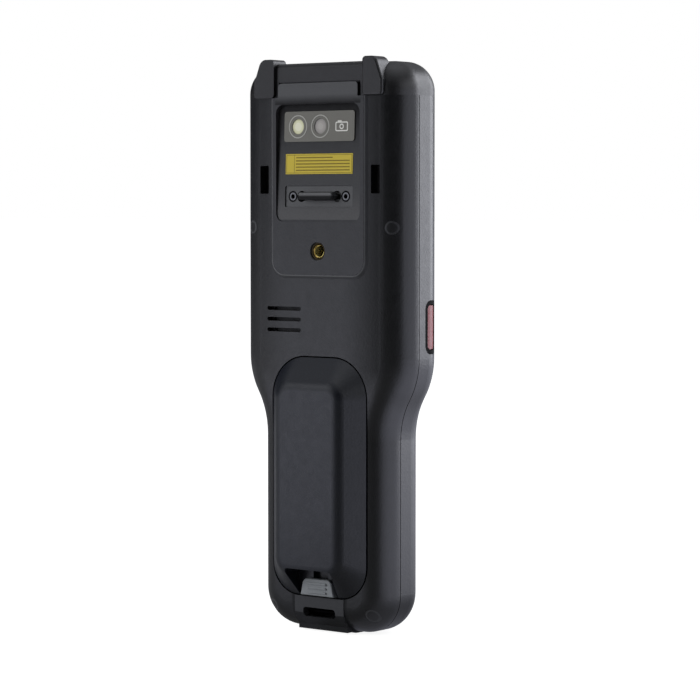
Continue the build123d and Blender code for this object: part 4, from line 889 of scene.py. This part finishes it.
class TERMINAL_OT_studio(bpy.types.Operator):
    """Set up the floor, the soft lights and the camera"""
    bl_idname = "terminal.studio"
    bl_label = "Studio"

    def execute(self, context):
        scene = context.scene
        studio = scene.terminal_studio
        a, e = studio.azimuth, studio.elevation
        back = Vector((math.sin(a) * math.cos(e), -math.cos(a) * math.cos(e), math.sin(e)))
        right = Vector((0, 0, 1)).cross(back).normalized()
        heart, aside = Vector((0, -3 * MM, 101 * MM)), 3.3 * MM   # the view's middle is to its right
        middle = heart + right * aside
        data = bpy.data.cameras.new("camera")
        data.lens, data.sensor_width = studio.lens, 36
        data.clip_start, data.clip_end = 0.01, 50
        camera = bpy.data.objects.new("camera", data)
        scene.collection.objects.link(camera)
        aim(camera, middle + back * studio.distance, middle)
        scene.camera = camera

        bpy.ops.object.select_all(action="DESELECT")
        bpy.ops.mesh.primitive_plane_add(size=40, location=(0, 0, 0))
        floor = context.active_object
        floor.name = "floor"
        floor.data.materials.append(self.floor_paint(scene.terminal_colours.floor_white))

        key = lamp("key_box", middle, turn=-52, rise=16, distance=1.6, wide=1.3, tall=1.3, watts=27)
        key.visible_glossy = False      # the soft box in ROOM is what the gloss shows
        rim = lamp("rim_box", middle, turn=152, rise=5, distance=1.3, wide=1.0, tall=1.8, watts=21)
        rim.data.color = linear(DAYLIGHT)
        self.sky(scene)
        scene.view_settings.view_transform = "Standard"
        return {"FINISHED"}

    def floor_paint(self, white):
        """Matt pale paint that stays white up to the horizon and still takes a soft shadow. In the gloss
        of the terminal it is dim close by, bright further off, and glows under a window on the -X side."""
        material, tree, shader, place = new_material("Studio_paint_matt_pale")
        feed(tree, shader, {"Base Color": rgba("#a8a8a8"), "Roughness": 0.9, "Specular IOR Level": 0.1})
        path = add(tree, "LightPath").outputs
        far = add(tree, "VectorMath", {0: place}, operation="LENGTH").outputs["Value"]
        glare = add(tree, "MapRange", {"Value": far, "From Min": 0.08, "From Max": 0.5, "To Min": white,
                                       "To Max": 1.0})
        seen = add(tree, "Math", {0: path["Is Camera Ray"], 1: glare}, operation="MULTIPLY")
        gloss = add(tree, "Math", {0: path["Is Glossy Ray"], 1: room_light(tree, place)},
                    operation="MULTIPLY")
        shade = add(tree, "MapRange", {"Value": far, "From Min": 0.05, "From Max": 0.4, "To Min": 0.30,
                                       "To Max": 1.36})
        x = add(tree, "SeparateXYZ", {0: place}).outputs["X"]
        window = add(tree, "MapRange", {"Value": x, "From Min": -0.12, "From Max": -0.02, "To Min": 1.6,
                                        "To Max": 0.0})
        lit = add(tree, "Math", {0: shade, 1: window}, operation="MAXIMUM")
        dim = add(tree, "Math", {0: gloss, 1: lit}, operation="MULTIPLY")
        share = add(tree, "Math", {0: seen, 1: dim}, operation="MAXIMUM")
        cool = add(tree, "Mix", {"Factor": path["Is Camera Ray"], 6: rgba(FLOOR_GLOW), 7: rgba(WHITE)},
                   data_type="RGBA")
        glow = add(tree, "Emission", {"Color": cool.outputs[2], "Strength": share})
        out = next(n for n in tree.nodes if n.type == "OUTPUT_MATERIAL")
        feed(tree, out, {"Surface": add(tree, "AddShader", {0: glow, 1: shader})})
        return material

    def sky(self, scene):
        """White behind the terminal, and the room's own light in its gloss."""
        world = bpy.data.worlds.new("studio")
        scene.world = world
        world.use_nodes = True
        tree = world.node_tree
        tree.nodes.clear()
        path = add(tree, "LightPath").outputs
        seen = add(tree, "Math", {0: path["Is Camera Ray"], 1: path["Is Transmission Ray"]},
                   operation="MAXIMUM")
        toward = add(tree, "TexCoord").outputs["Generated"]
        bright = add(tree, "Math", {0: room_light(tree, toward), 1: WALL_GLOSS}, operation="MULTIPLY")
        gloss = add(tree, "Math", {0: bright, 1: path["Is Glossy Ray"]}, operation="MULTIPLY")
        strong = add(tree, "Math", {0: seen, 1: gloss}, operation="MAXIMUM")
        ambient = add(tree, "Math", {0: path["Is Diffuse Ray"], 1: scene.terminal_studio.ambient},
                      operation="MULTIPLY")
        strength = add(tree, "Math", {0: strong, 1: ambient}, operation="MAXIMUM")
        cool = add(tree, "Mix", {"Factor": seen, 6: rgba(DAYLIGHT), 7: rgba(WHITE)}, data_type="RGBA")
        light = add(tree, "Background", {"Color": cool.outputs[2], "Strength": strength})
        add(tree, "OutputWorld", {"Surface": light})


STEPS = (TERMINAL_OT_finishes, TERMINAL_OT_camera_print, TERMINAL_OT_label_print, TERMINAL_OT_latch_ribs,
         TERMINAL_OT_insert_thread, TERMINAL_OT_key_prints, TERMINAL_OT_studio)


class TERMINAL_PT_panel(bpy.types.Panel):
    """Lists the steps that dress the terminal"""
    bl_idname = "TERMINAL_PT_panel"
    bl_label = "Terminal"
    bl_space_type = "VIEW_3D"
    bl_region_type = "UI"
    bl_category = "Terminal"

    def draw(self, context):
        for step in STEPS:
            self.layout.operator(step.bl_idname)


CLASSES = (TerminalColours, TerminalPrints, TerminalStudio, *STEPS, TERMINAL_PT_panel)


def register():
    for cls in CLASSES:
        bpy.utils.register_class(cls)
    bpy.types.Scene.terminal_colours = bpy.props.PointerProperty(type=TerminalColours)
    bpy.types.Scene.terminal_prints = bpy.props.PointerProperty(type=TerminalPrints)
    bpy.types.Scene.terminal_studio = bpy.props.PointerProperty(type=TerminalStudio)


def unregister():
    del bpy.types.Scene.terminal_colours
    del bpy.types.Scene.terminal_prints
    del bpy.types.Scene.terminal_studio
    for cls in reversed(CLASSES):
        bpy.utils.unregister_class(cls)


def main():
    register()
    for step in STEPS:
        group, name = step.bl_idname.split(".")
        getattr(getattr(bpy.ops, group), name)()


if __name__ == "__main__":
    main()
